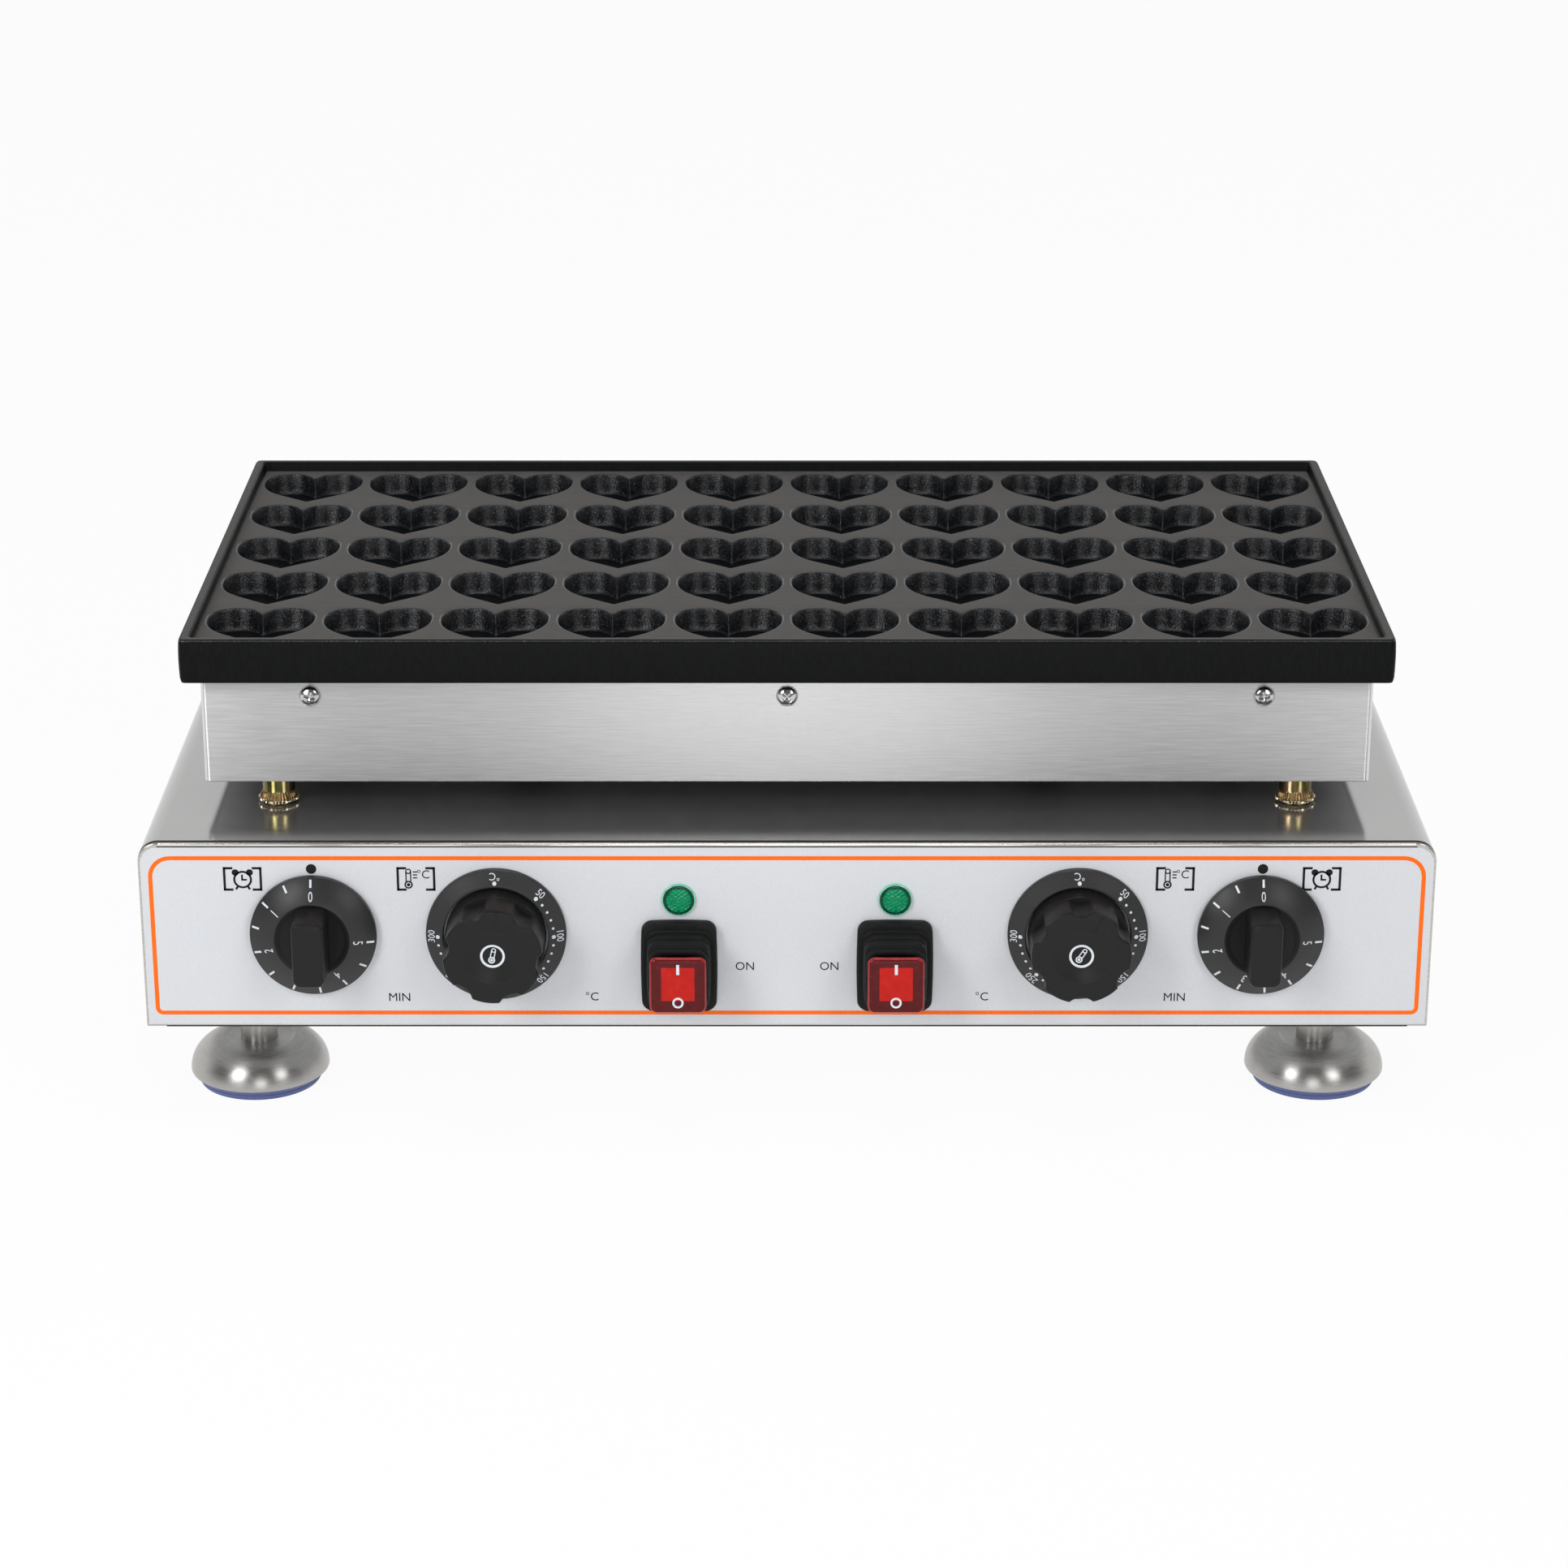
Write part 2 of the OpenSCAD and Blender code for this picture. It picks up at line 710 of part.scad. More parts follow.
module sensor(side) {
    x = side * heater_x;
    bulb_end = conduit_y - sensor_gap;
    color("peru") {
        rod([x, bulb_end - sensor_l, sensor_z], [x, bulb_end, sensor_z], sensor_d);
        bent_rod([
            [x, bulb_end - sensor_d, sensor_z], [x, conduit_y, sensor_z],
            [x, conduit_y, dial_level], [x, thermo_rear_y, dial_level]
        ], capillary_d);
    }
}

module wire_conduits() {
    tube_l = conduit_below + pillar_h + box_sheet + blanket_h + conduit_above;
    color("gray") for (s = SIDES) translate([s * heater_x, conduit_y, base_top]) difference() {
        union() {
            translate([0, 0, -conduit_below]) cylinder(d = conduit_d, h = tube_l);
            cylinder(d = conduit_flange_d, h = base_sheet);
        }
        translate([0, 0, -2 * conduit_below]) cylinder(d = conduit_d - 2 * conduit_wall, h = 2 * tube_l);
    }
}

module wiring() {
    color("firebrick") for (s = SIDES) {
        bent_rod([
            [s * block_w / 4, block_y - block_d / 2, cover_top + block_h / 2],
            [s * block_w / 4, loom_y, cover_top + block_h / 2],
            [s * switch_x, loom_y, cover_top + block_h / 2],
            [s * switch_x, loom_y, switch_level],
            [s * switch_x, switch_rear_y, switch_level]
        ], wire_d);
        bent_rod([
            [s * (switch_x + wire_step), switch_rear_y, switch_level - wire_step],
            [s * (switch_x + wire_step), loom_y - wire_step, switch_level - wire_step],
            [s * timer_x, loom_y - wire_step, switch_level - wire_step],
            [s * timer_x, loom_y - wire_step, dial_level],
            [s * timer_x, timer_rear_y, dial_level]
        ], wire_d);
        for (t = SIDES) {
            x = s * thermo_x + t * conduit_step;
            end_x = s * heater_x + t * (heater_legs - 1) * heater_pitch / 2;
            end_y = heater_rear + heater_drop_r;
            end_z = heater_z - heater_drop_r - heater_drop;
            run_z = box_floor_top + blanket_h + conduit_above + wire_d;
            bent_rod([
                [x, thermo_rear_y, dial_level - wire_step], [x, conduit_y, dial_level - wire_step],
                [x, conduit_y, run_z], [end_x, conduit_y, run_z], [end_x, end_y, run_z], [end_x, end_y, end_z]
            ], wire_d);
        }
    }
}

// Timers and thermostats, drawn along +Z out of the printed film

module timer_body(side) {
    control_body(side * timer_x, timer_body_w, timer_body_w, timer_body_l);
}

module thermostat_body(side) {
    control_body(side * thermo_x, thermo_body_w, thermo_body_h, thermo_body_l);
}

module control_body(x, w, h, l) {
    back = film_t + base_sheet;
    color("gray") facing(x, film_y, dial_level) difference() {
        union() {
            translate([-w / 2, -h / 2, -back - l]) cube([w, h, l]);
            translate([0, 0, -back - l / 2]) cylinder(d = neck_d, h = back + l / 2 + neck_len);
        }
        translate([0, 0, -shaft_in - clear]) cylinder(d = shaft_d + 2 * fit, h = 2 * shaft_in);
    }
}

module control_shaft(x) {
    color("silver") facing(x, film_y, dial_level) translate([0, 0, -shaft_in])
        cylinder(d = shaft_d, h = shaft_in + neck_len + shaft_end);
}

// Room behind a knob for the neck and the shaft
module knob_bore() {
    translate([0, 0, -neck_len]) cylinder(d = neck_d + 2 * hole_clear, h = 2 * neck_len + hole_clear);
    cylinder(d = shaft_d + 2 * fit, h = neck_len + shaft_end + clear);
}

module timer_knob(side) {
    face = dial_gap + knob_skirt;
    hub = face + knob_rise;
    color("#2b2b2b") facing(side * timer_x, film_y, dial_level) difference() {
        union() {
            rotate_extrude() polygon([
                [0, dial_gap], [timer_d / 2, dial_gap], [timer_d / 2, face],
                [hub_d / 2, hub], [hub_d / 2 - hub_step, hub - hub_step], [0, hub - hub_step]
            ]);
            intersection() {
                translate([0, 0, face]) cylinder(d = hub_d, h = timer_len - face);
                translate([-grip_w / 2, -hub_d, 0]) cube([grip_w, 2 * hub_d, timer_len + clear]);
            }
        }
        knob_bore();
    }
}

module thermostat_ring(side) {
    color("#2b2b2b") facing(side * thermo_x, film_y, dial_level) rotate_extrude() polygon([
        [thermo_d / 2 + ring_gap, 0], [ring_d / 2, 0], [ring_d / 2, ring_edge],
        [thermo_d / 2 + ring_gap + ring_lip, ring_t], [thermo_d / 2 + ring_gap, ring_t]
    ]);
}

module thermostat_knob(side, set) {
    color("#2b2b2b") facing(side * thermo_x, film_y, dial_level) rotate([0, 0, -set]) difference() {
        translate([0, 0, dial_gap]) cylinder(d = thermo_d, h = thermo_len - dial_gap);
        for (i = [0 : scallops - 1]) rotate([0, 0, (i + 0.5) * 360 / scallops])
            translate([0, thermo_d / 2 - scallop_in + scallop_r, scallop_start])
                cylinder(r = scallop_r, h = thermo_len);
        translate([0, 0, thermo_len - dish_h + dish_r]) sphere(dish_r);
        translate([-pointer_w / 2, thermo_d / 2 - pointer_l, thermo_len - pointer_w])
            cube([pointer_w, pointer_l, 2 * pointer_w]);
        knob_bore();
    }
}

// Lamps and switches

module lamp_lenses() {
    color("limegreen") for (s = SIDES) facing(s * switch_x, film_y, lamp_level) {
        cylinder(d = lamp_d, h = lamp_rim_t);
        cylinder(d = lamp_dome_d, h = lamp_dome_h);
        translate([0, 0, -lamp_stem_l]) cylinder(d = lamp_stem_d, h = lamp_stem_l);
    }
}

module lamp_sockets() {
    back = film_t + base_sheet;
    color("ivory") for (s = SIDES) facing(s * switch_x, film_y, lamp_level) difference() {
        translate([0, 0, -back - lamp_socket_l]) cylinder(d = lamp_socket_d, h = lamp_socket_l);
        translate([0, 0, -lamp_stem_l - clear]) cylinder(d = lamp_stem_d + 2 * fit, h = 2 * lamp_stem_l);
    }
}

module switch_bodies() {
    color("dimgray") for (s = SIDES) facing(s * switch_x, film_y, switch_level) {
        translate([-switch_w / 2, -switch_h / 2, -switch_l])
            cube([switch_w, switch_h, switch_l + switch_proud]);
        for (t = SIDES) difference() {
            translate([t * (switch_w - cheek_t) / 2 - cheek_t / 2, -cheek_h / 2, 0])
                cube([cheek_t, cheek_h, pivot_out + pin_d]);
            translate([t * switch_w / 2, 0, pivot_out]) rotate([0, 90, 0])
                cylinder(d = pin_d + 2 * fit, h = 4 * cheek_t, center = true);
        }
    }
}

module switch_boots() {
    color("#1f1f1f") for (s = SIDES) facing(s * switch_x, film_y, switch_level) difference() {
        union() {
            linear_extrude(boot_flange) rounded(boot_w, boot_h, boot_r);
            linear_extrude(boot_step) rounded(boot_step_w, boot_step_h, boot_r);
            linear_extrude(boot_collar) rounded(collar_w, collar_len, boot_r);
        }
        cube([boot_cavity_w, boot_seat_h, 2 * boot_seat], center = true);
        cube([boot_cavity_w, boot_hole_h, 2 * boot_cavity], center = true);
        cube([boot_hole_w, boot_hole_h, 4 * boot_collar], center = true);
    }
}

module rocker(side) {
    barrel_l = switch_w - 2 * (cheek_t + clear);
    color("crimson") facing(side * switch_x, film_y, switch_level) translate([0, 0, pivot_out])
        rotate([-rocker_tilt, 0, 0]) {
            rotate([0, 90, 0]) cylinder(d = barrel_d, h = barrel_l, center = true);
            rotate([0, 90, 0]) cylinder(d = pin_d, h = switch_w - clear, center = true);
            translate([-barrel_l / 2, -rocker_neck_h / 2, 0])
                cube([barrel_l, rocker_neck_h, cap_face - cap_t / 2 - pivot_out]);
            translate([0, 0, cap_face - cap_t - pivot_out])
                linear_extrude(cap_t) rounded(cap_w, cap_h, cap_r);
        }
}

// Supply

module cable_gland() {
    rear = base_d / 2;
    color("dimgray") translate([gland_x, rear, foot_h + gland_z]) rotate([-90, 0, 0]) difference() {
        union() {
            hexagon(gland_hex_w, gland_hex_l);
            cylinder(d = gland_dome_d, h = gland_hex_l + gland_dome_l);
            translate([0, 0, -gland_thread_l]) cylinder(d = gland_thread_d, h = gland_thread_l);
        }
        translate([0, 0, -2 * gland_thread_l]) cylinder(d = cable_d, h = 4 * gland_thread_l + gland_dome_l);
    }
}

module gland_nut() {
    wall_y = base_d / 2 - base_sheet;
    color("gray") translate([gland_x, wall_y, foot_h + gland_z]) rotate([90, 0, 0]) difference() {
        hexagon(gland_hex_w, gland_nut_t);
        translate([0, 0, -gland_nut_t / 2]) cylinder(d = gland_thread_d + 2 * fit, h = 2 * gland_nut_t);
    }
}

module terminal_block() {
    ways = 3;
    way_w = block_w / ways;
    color("ivory") difference() {
        translate([-block_w / 2, block_y - block_d / 2, cover_top]) cube([block_w, block_d, block_h]);
        for (i = [0 : ways - 1])
            translate([(i - (ways - 1) / 2) * way_w, block_y, cover_top + block_h / 2])
                cylinder(d = block_d / 2, h = block_h);
    }
}

base_wrap();
front_panel();
rear_panel();
bottom_cover();
bottom_screws();
control_film();
foot_stem(LEFT, FRONT);  // foot_front_left_stem
foot_bell(LEFT, FRONT);  // foot_front_left_bell
foot_pad(LEFT, FRONT);  // foot_front_left_pad
foot_stem(RIGHT, FRONT);  // foot_front_right_stem
foot_bell(RIGHT, FRONT);  // foot_front_right_bell
foot_pad(RIGHT, FRONT);  // foot_front_right_pad
foot_stem(LEFT, REAR);  // foot_rear_left_stem
foot_bell(LEFT, REAR);  // foot_rear_left_bell
foot_pad(LEFT, REAR);  // foot_rear_left_pad
foot_stem(RIGHT, REAR);  // foot_rear_right_stem
foot_bell(RIGHT, REAR);  // foot_rear_right_bell
foot_pad(RIGHT, REAR);  // foot_rear_right_pad
foot_nuts();
pillars();
pillar_bolts();
m6_nuts();
heater_box();
heater_box_floor();
box_screws();
insulation();
baking_plate();
heart_rows_odd();
heart_rows_even();
heater(LEFT);  // heater_left
heater(RIGHT);  // heater_right
heater_clamps();
clamp_studs();
sensor(LEFT);  // sensor_left
sensor(RIGHT);  // sensor_right
wire_conduits();
wiring();
timer_body(LEFT);  // timer_body_left
timer_body(RIGHT);  // timer_body_right
control_shaft(LEFT * timer_x);  // timer_shaft_left
control_shaft(RIGHT * timer_x);  // timer_shaft_right
timer_knob(LEFT);  // timer_knob_left
timer_knob(RIGHT);  // timer_knob_right
thermostat_body(LEFT);  // thermostat_body_left
thermostat_body(RIGHT);  // thermostat_body_right
control_shaft(LEFT * thermo_x);  // thermostat_shaft_left
control_shaft(RIGHT * thermo_x);  // thermostat_shaft_right
thermostat_ring(LEFT);  // thermostat_ring_left
thermostat_ring(RIGHT);  // thermostat_ring_right
thermostat_knob(LEFT, left_set);  // thermostat_knob_left
thermostat_knob(RIGHT, right_set);  // thermostat_knob_right
lamp_lenses();
lamp_sockets();
switch_boots();
switch_bodies();
rocker(LEFT);  // rocker_left
rocker(RIGHT);  // rocker_right
cable_gland();
gland_nut();
terminal_block();
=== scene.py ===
from math import asin, atan2, copysign, cos, hypot, pi, radians, sin, sqrt

import bmesh
import bpy
from mathutils import Matrix, Vector


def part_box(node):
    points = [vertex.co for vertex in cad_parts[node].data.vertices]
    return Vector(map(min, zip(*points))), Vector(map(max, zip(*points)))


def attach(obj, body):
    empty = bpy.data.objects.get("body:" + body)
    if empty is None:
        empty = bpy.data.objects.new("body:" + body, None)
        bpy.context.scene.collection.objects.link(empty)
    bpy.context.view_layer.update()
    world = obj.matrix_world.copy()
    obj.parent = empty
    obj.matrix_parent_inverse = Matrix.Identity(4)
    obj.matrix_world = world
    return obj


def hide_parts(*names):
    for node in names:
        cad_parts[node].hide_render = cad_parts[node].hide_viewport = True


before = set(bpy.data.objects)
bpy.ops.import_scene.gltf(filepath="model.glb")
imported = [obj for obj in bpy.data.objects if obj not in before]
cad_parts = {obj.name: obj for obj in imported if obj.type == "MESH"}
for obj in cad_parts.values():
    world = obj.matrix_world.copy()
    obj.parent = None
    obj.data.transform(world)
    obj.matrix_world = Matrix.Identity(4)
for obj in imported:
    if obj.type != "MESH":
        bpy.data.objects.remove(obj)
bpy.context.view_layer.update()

# Heart waffle baker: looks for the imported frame. Shapes are written in millimetres, in the frame's axes.
MM = 0.001
SIDES = {"left": -1, "right": 1}
ENDS = ("front", "rear")


def node_box(name):
    """Lowest and highest corner of a frame node, in millimetres."""
    low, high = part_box(name)
    return low / MM, high / MM


def node_middle(name):
    low, high = node_box(name)
    return (low + high) / 2


# Sizes of the baking plate that the frame doesn't give
HEART_COLS = 10
HEART_ROWS = 5
HEART_W = 49.2
HEART_L = 48.8
PITCH_X = 53.4
PITCH_Y = 55.2
LOBE_R = 12.53
FLANK_R = 27.8
WIDEST_Y = 8.78
WELL_DEPTH = 10
CUSP_BLEND = 5
CUSP_CROWD = 1.6
CELL_STEPS = 36
DECK_GAP = 0.7
LUG_W = 20
LUG_T = 9
LUG_H = 17
LUG_INSET = 1.8

# Thickness of a print
PRINT_T = 0.06


# Shapes

class Shape:
    """Vertices in millimetres, and faces with the number of their material."""

    def __init__(self):
        self.verts = []
        self.faces = []
        self.slots = []

    def add(self, verts, faces, slot=0):
        start = len(self.verts)
        self.verts += [Vector(v) for v in verts]
        self.faces += [[start + i for i in face] for face in faces]
        self.slots += [slot] * len(faces)
        return self

    def loft(self, rings, slot=0, closed=False, caps=(True, True)):
        """Skin over rings of equal length, closed to a tube or with flat ends."""
        count = len(rings[0])
        faces = []
        pairs = len(rings) if closed else len(rings) - 1
        for k in range(pairs):
            a = k * count
            b = (k + 1) % len(rings) * count
            faces += [[a + i, a + (i + 1) % count, b + (i + 1) % count, b + i] for i in range(count)]
        if not closed and caps[0]:
            faces.append(list(range(count))[::-1])
        if not closed and caps[1]:
            faces.append([(len(rings) - 1) * count + i for i in range(count)])
        return self.add([v for ring in rings for v in ring], faces, slot)

    def lathe(self, profile, slot=0, closed=False, segments=72, wave=None, caps=(True, True)):
        """Turned shape about Z from (radius, z) points. wave changes a radius by point and angle."""
        angles = turn(segments)
        rings = []
        for k, (r, z) in enumerate(profile):
            radii = [r + (wave(k, a) if wave else 0) for a in angles]
            rings.append([(q * cos(a), q * sin(a), z) for q, a in zip(radii, angles)])
        return self.loft(rings, slot, closed, caps)

    def slab(self, w, h, r, levels, slot=0, closed=False, caps=(True, True), lift=0):
        """Rounded rectangle skinned through (inset, z) levels, shifted along Y by lift."""
        rings = []
        for inset, z in levels:
            outline = rounded_rect(w - 2 * inset, h - 2 * inset, max(r - inset, 0.3))
            rings.append([(x, y + lift, z) for x, y in outline])
        return self.loft(rings, slot, closed, caps)

    def bar(self, a, b, width, z=0, t=PRINT_T, slot=0):
        """Flat straight stroke from a to b."""
        a, b = Vector(a), Vector(b)
        side = (b - a).orthogonal().normalized() * width / 2
        corners = [a - side, b - side, b + side, a + side]
        return self.loft([raised(corners, z), raised(corners, z + t)], slot)

    def disc(self, centre, r, z=0, t=PRINT_T, segments=32):
        ring = circle(r, segments, *centre)
        return self.loft([raised(ring, z), raised(ring, z + t)])

    def hoop(self, centre, outer, inner, z=0, t=PRINT_T, slot=0, segments=48):
        levels = ((outer, z), (outer, z + t), (inner, z + t), (inner, z))
        rings = [raised(circle(r, segments, *centre), level) for r, level in levels]
        return self.loft(rings, slot, closed=True)

    def take(self, other, place=Matrix(), slot=None):
        """Adds a placed copy of another shape."""
        start = len(self.verts)
        self.verts += [place @ v for v in other.verts]
        self.faces += [[start + i for i in face] for face in other.faces]
        self.slots += other.slots if slot is None else [slot] * len(other.faces)
        return self

    def drape(self, surface):
        """Lifts every point by surface(radius), so that a flat print follows a turned face."""
        for v in self.verts:
            v.z += surface(hypot(v.x, v.y))
        return self


def turn(segments):
    return [2 * pi * i / segments for i in range(segments)]


def raised(outline, z):
    return [(x, y, z) for x, y in outline]


def circle(r, segments, x=0, y=0):
    return [(x + r * cos(a), y + r * sin(a)) for a in turn(segments)]


def corner_arcs(w, low, high, radii, steps):
    """Rectangle from y = low to y = high with its own radius at each corner, counter-clockwise."""
    points = []
    for corner, r in enumerate(radii):
        cx = (w / 2 - r) * (1 if corner in (0, 3) else -1)
        cy = high - r if corner in (0, 1) else low + r
        for i in range(steps + 1):
            a = pi / 2 * (corner + i / steps)
            points.append((cx + r * cos(a), cy + r * sin(a)))
    return points


CORNER_STEPS = 6
SIDE_STEPS = 6
ARCH_STEPS = 8


def rounded_rect(w, h, r, bow=0):
    """Rectangle with equal corners about the origin. bow lets its sides bulge."""
    corners = corner_arcs(w, -h / 2, h / 2, [r] * 4, CORNER_STEPS)
    if not bow:
        return corners
    points = []
    for k, (x, y) in enumerate(corners):
        points.append((x, y))
        if k % (CORNER_STEPS + 1) == CORNER_STEPS:
            nx, ny = corners[(k + 1) % len(corners)]
            points += [(x + (nx - x) * i / SIDE_STEPS, y + (ny - y) * i / SIDE_STEPS)
                       for i in range(1, SIDE_STEPS)]
    return [(x - bow * x * (2 * y / h) ** 2 / w, y - bow * y * (2 * x / w) ** 2 / h) for x, y in points]


def arched(w, h, top_r, bottom_r):
    """Panel outline standing on y = 0, with its own radius at the top and bottom corners."""
    return corner_arcs(w, 0, h, (top_r, top_r, bottom_r, bottom_r), ARCH_STEPS)


def plate_with_holes(outlines, thickness, bevel):
    """Solid sheet from a closed outline and its holes, with rounded edges, standing on z = 0."""
    curve = bpy.data.curves.new("sheet", "CURVE")
    curve.dimensions = "2D"
    curve.fill_mode = "BOTH"
    curve.extrude = (thickness / 2 - bevel) * MM
    curve.bevel_depth = bevel * MM
    curve.bevel_resolution = 3
    curve.offset = -bevel * MM
    for outline in outlines:
        spline = curve.splines.new("POLY")
        spline.points.add(len(outline) - 1)
        spline.use_cyclic_u = True
        for point, (x, y) in zip(spline.points, outline):
            point.co = (x * MM, y * MM, 0, 1)
    return shape_of(curve, Matrix.Translation((0, 0, thickness / 2)))


def new_object(name, data):
    obj = bpy.data.objects.new(name, data)
    bpy.context.scene.collection.objects.link(obj)
    return obj


def shape_of(curve, place=Matrix()):
    """Evaluates a curve or a text, and returns its mesh as a shape."""
    holder = new_object("holder", curve)
    bpy.context.view_layer.update()
    mesh = bpy.data.meshes.new_from_object(holder.evaluated_get(bpy.context.evaluated_depsgraph_get()))
    verts = [place @ (v.co / MM) for v in mesh.vertices]
    shape = Shape().add(verts, [list(p.vertices) for p in mesh.polygons])
    bpy.data.objects.remove(holder)
    bpy.data.curves.remove(curve)
    bpy.data.meshes.remove(mesh)
    return shape


def lettering(words, height, squeeze=1):
    """Flat sign of a given height, centred on the origin."""
    curve = bpy.data.curves.new("sign", "FONT")
    curve.body = words
    curve.extrude = PRINT_T / 2 * MM
    curve.size = height * MM
    curve.resolution_u = 3
    sign = shape_of(curve)
    low = Vector([min(v[k] for v in sign.verts) for k in range(3)])
    high = Vector([max(v[k] for v in sign.verts) for k in range(3)])
    middle = (low + high) / 2
    grow = height / (high.y - low.y)
    for v in sign.verts:
        v.x = (v.x - middle.x) * grow * squeeze
        v.y = (v.y - middle.y) * grow
        v.z = v.z - low.z
    return sign


def moved(x, y, z=0):
    return Matrix.Translation((x, y, z))


def facing(x, z, y):
    """Place of a part drawn along +Z that points out of the front panel at x, y, z."""
    return moved(x, y, z) @ Matrix.Rotation(pi / 2, 4, "X")


def spun(degrees):
    """Turn about Z, clockwise as seen from the front."""
    return Matrix.Rotation(-radians(degrees), 4, "Z")


def piece(name, shape, finishes, body, replaces=(), sharp=32):
    """Makes a shape a piece in the named finishes, which rides on a body."""
    mesh = bpy.data.meshes.new(name)
    mesh.from_pydata([v * MM for v in shape.verts], [], shape.faces)
    for look in finishes.split():
        mesh.materials.append(looks[look])
    mesh.polygons.foreach_set("material_index", shape.slots)
    mesh.polygons.foreach_set("use_smooth", [True] * len(shape.slots))
    work = bmesh.new()
    work.from_mesh(mesh)
    bmesh.ops.remove_doubles(work, verts=work.verts, dist=1e-6)
    bmesh.ops.recalc_face_normals(work, faces=work.faces)
    for edge in work.edges:
        edge.smooth = edge.calc_face_angle(pi) < radians(sharp)
    work.to_mesh(mesh)
    work.free()
    obj = new_object(name, mesh)
    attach(obj, body)
    if replaces:
        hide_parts(*replaces)


# Materials

def fill(node, values):
    for key, value in values.items():
        node.inputs[key].default_value = value


def new_node(tree, kind, values=None, **settings):
    """Shader node with some socket values and settings."""
    node = tree.nodes.new(f"ShaderNode{kind}")
    for key, value in settings.items():
        setattr(node, key, value)
    fill(node, values or {})
    return node


def join(start, output, end, socket):
    start.id_data.links.new(start.outputs[output], end.inputs[socket])


def new_material(name):
    """Material with its node tree and its shader."""
    material = bpy.data.materials.new(name)
    material.use_nodes = True
    tree = material.node_tree
    return material, tree, tree.nodes["Principled BSDF"]


looks = {}


def finish(name, dark, light, rough, scale, metal=0, grain=(1, 1, 1), bump=0, bump_scale=None, detail=3,
           specular=0.5, glow=None, contrast=(0.35, 0.65), brush=0, bands=None):
    """Adds a material whose colour, roughness and relief follow a noise, stretched by grain. bands are
    (position, colour) steps in place of dark and light. brush is for a finish that runs level along a wall,
    and draws its highlights out upwards."""
    material, tree, shader = new_material(name)
    fill(shader, {"Metallic": metal, "Specular IOR Level": specular})
    if glow:
        fill(shader, {"Emission Color": (*glow[:3], 1), "Emission Strength": glow[3]})
    if brush:
        fill(shader, {"Anisotropic": brush, "Anisotropic Rotation": 0.25})
        surface = new_node(tree, "NewGeometry")
        level = new_node(tree, "VectorMath", {0: (0, 0, 1)}, operation="CROSS_PRODUCT")
        join(surface, "Normal", level, 1)
        join(level, "Vector", shader, "Tangent")
    coords = new_node(tree, "TexCoord")
    stretch = new_node(tree, "Mapping", {"Scale": grain})
    join(coords, "Object", stretch, "Vector")
    noise = new_node(tree, "TexNoise", {"Scale": scale, "Detail": detail})
    join(stretch, "Vector", noise, "Vector")
    ramp = new_node(tree, "ValToRGB")
    stops = ramp.color_ramp.elements
    for k, (position, colour) in enumerate(bands or zip(contrast, (dark, light))):
        stop = stops[k] if k < 2 else stops.new(position)
        stop.position = position
        stop.color = (*colour, 1)
    join(noise, "Fac", ramp, "Fac")
    join(ramp, "Color", shader, "Base Color")
    ends = {"From Min": contrast[0], "From Max": contrast[1], "To Min": rough[0], "To Max": rough[1]}
    spread = new_node(tree, "MapRange", ends)
    join(noise, "Fac", spread, "Value")
    join(spread, "Result", shader, "Roughness")
    if bump:
        relief = noise
        if bump_scale:
            relief = new_node(tree, "TexNoise", {"Scale": bump_scale, "Detail": 2})
            join(coords, "Object", relief, "Vector")
        tilt = new_node(tree, "Bump", {"Distance": bump * MM})
        join(relief, "Fac", tilt, "Height")
        join(tilt, "Normal", shader, "Normal")
    looks[name] = material


ALONG_X = (0.02, 1, 1)
finish("steel_brushed", (0.74, 0.74, 0.742), (0.88, 0.88, 0.883), (0.42, 0.48), 1900, 1, (0.03, 0.03, 1),
       bump=0.001, brush=0.95)
finish("steel_polished", (0.39, 0.39, 0.387), (0.41, 0.41, 0.406), (0.14, 0.18), 2500, 0.85, ALONG_X)
finish("steel_edge", (0.5, 0.48, 0.45), (0.6, 0.58, 0.545), (0.14, 0.22), 900, 1, ALONG_X)
# Lighter copy of the panel steel for the rolled lip: a painted highlight along the bend
finish("steel_lip_highlight", (0.84, 0.83, 0.81), (0.92, 0.91, 0.89), (0.12, 0.2), 900, 1, ALONG_X)
finish("steel_bend", (0.66, 0.66, 0.66), (0.74, 0.74, 0.74), (0.2, 0.3), 1500, 1, (1, 1, 0.04))
finish("steel_foot", (0.4, 0.39, 0.375), (0.47, 0.46, 0.445), (0.3, 0.36), 3500, 1, (0.04, 0.04, 1),
       brush=0.7)
finish("steel_screw", (0.5, 0.5, 0.5), (0.64, 0.64, 0.64), (0.12, 0.2), 700, 1)
finish("steel_dull", (0.56, 0.57, 0.58), (0.68, 0.69, 0.7), (0.35, 0.45), 90, 1)
# Dark joints, also used for strips of painted shadow under the panel's lip and along its foot
finish("seam_and_shadow_dark", (0.035, 0.028, 0.022), (0.05, 0.041, 0.033), (0.5, 0.6), 300, specular=0.1)
ZINC_BANDS = (
    (0.3, (0.2, 0.16, 0.05)), (0.43, (0.4, 0.36, 0.13)), (0.52, (0.52, 0.43, 0.2)),
    (0.62, (0.52, 0.32, 0.21)), (0.72, (0.28, 0.26, 0.09)))
finish("zinc_yellow", None, None, (0.16, 0.24), 150, 1, (1, 1, 0.5), detail=1, bands=ZINC_BANDS)
finish("zinc_brown", (0.16, 0.1, 0.045), (0.3, 0.2, 0.09), (0.3, 0.4), 600, 1)
# Paler zinc on the bead crests: painted glints
finish("zinc_bead", (0.62, 0.55, 0.38), (0.8, 0.72, 0.52), (0.12, 0.2), 600, 1)
finish("coat_deck", (0.076, 0.0725, 0.069), (0.099, 0.0955, 0.0905), (0.5, 0.6), 900, grain=(0.1, 1, 1),
       bump=0.004, specular=0.06)
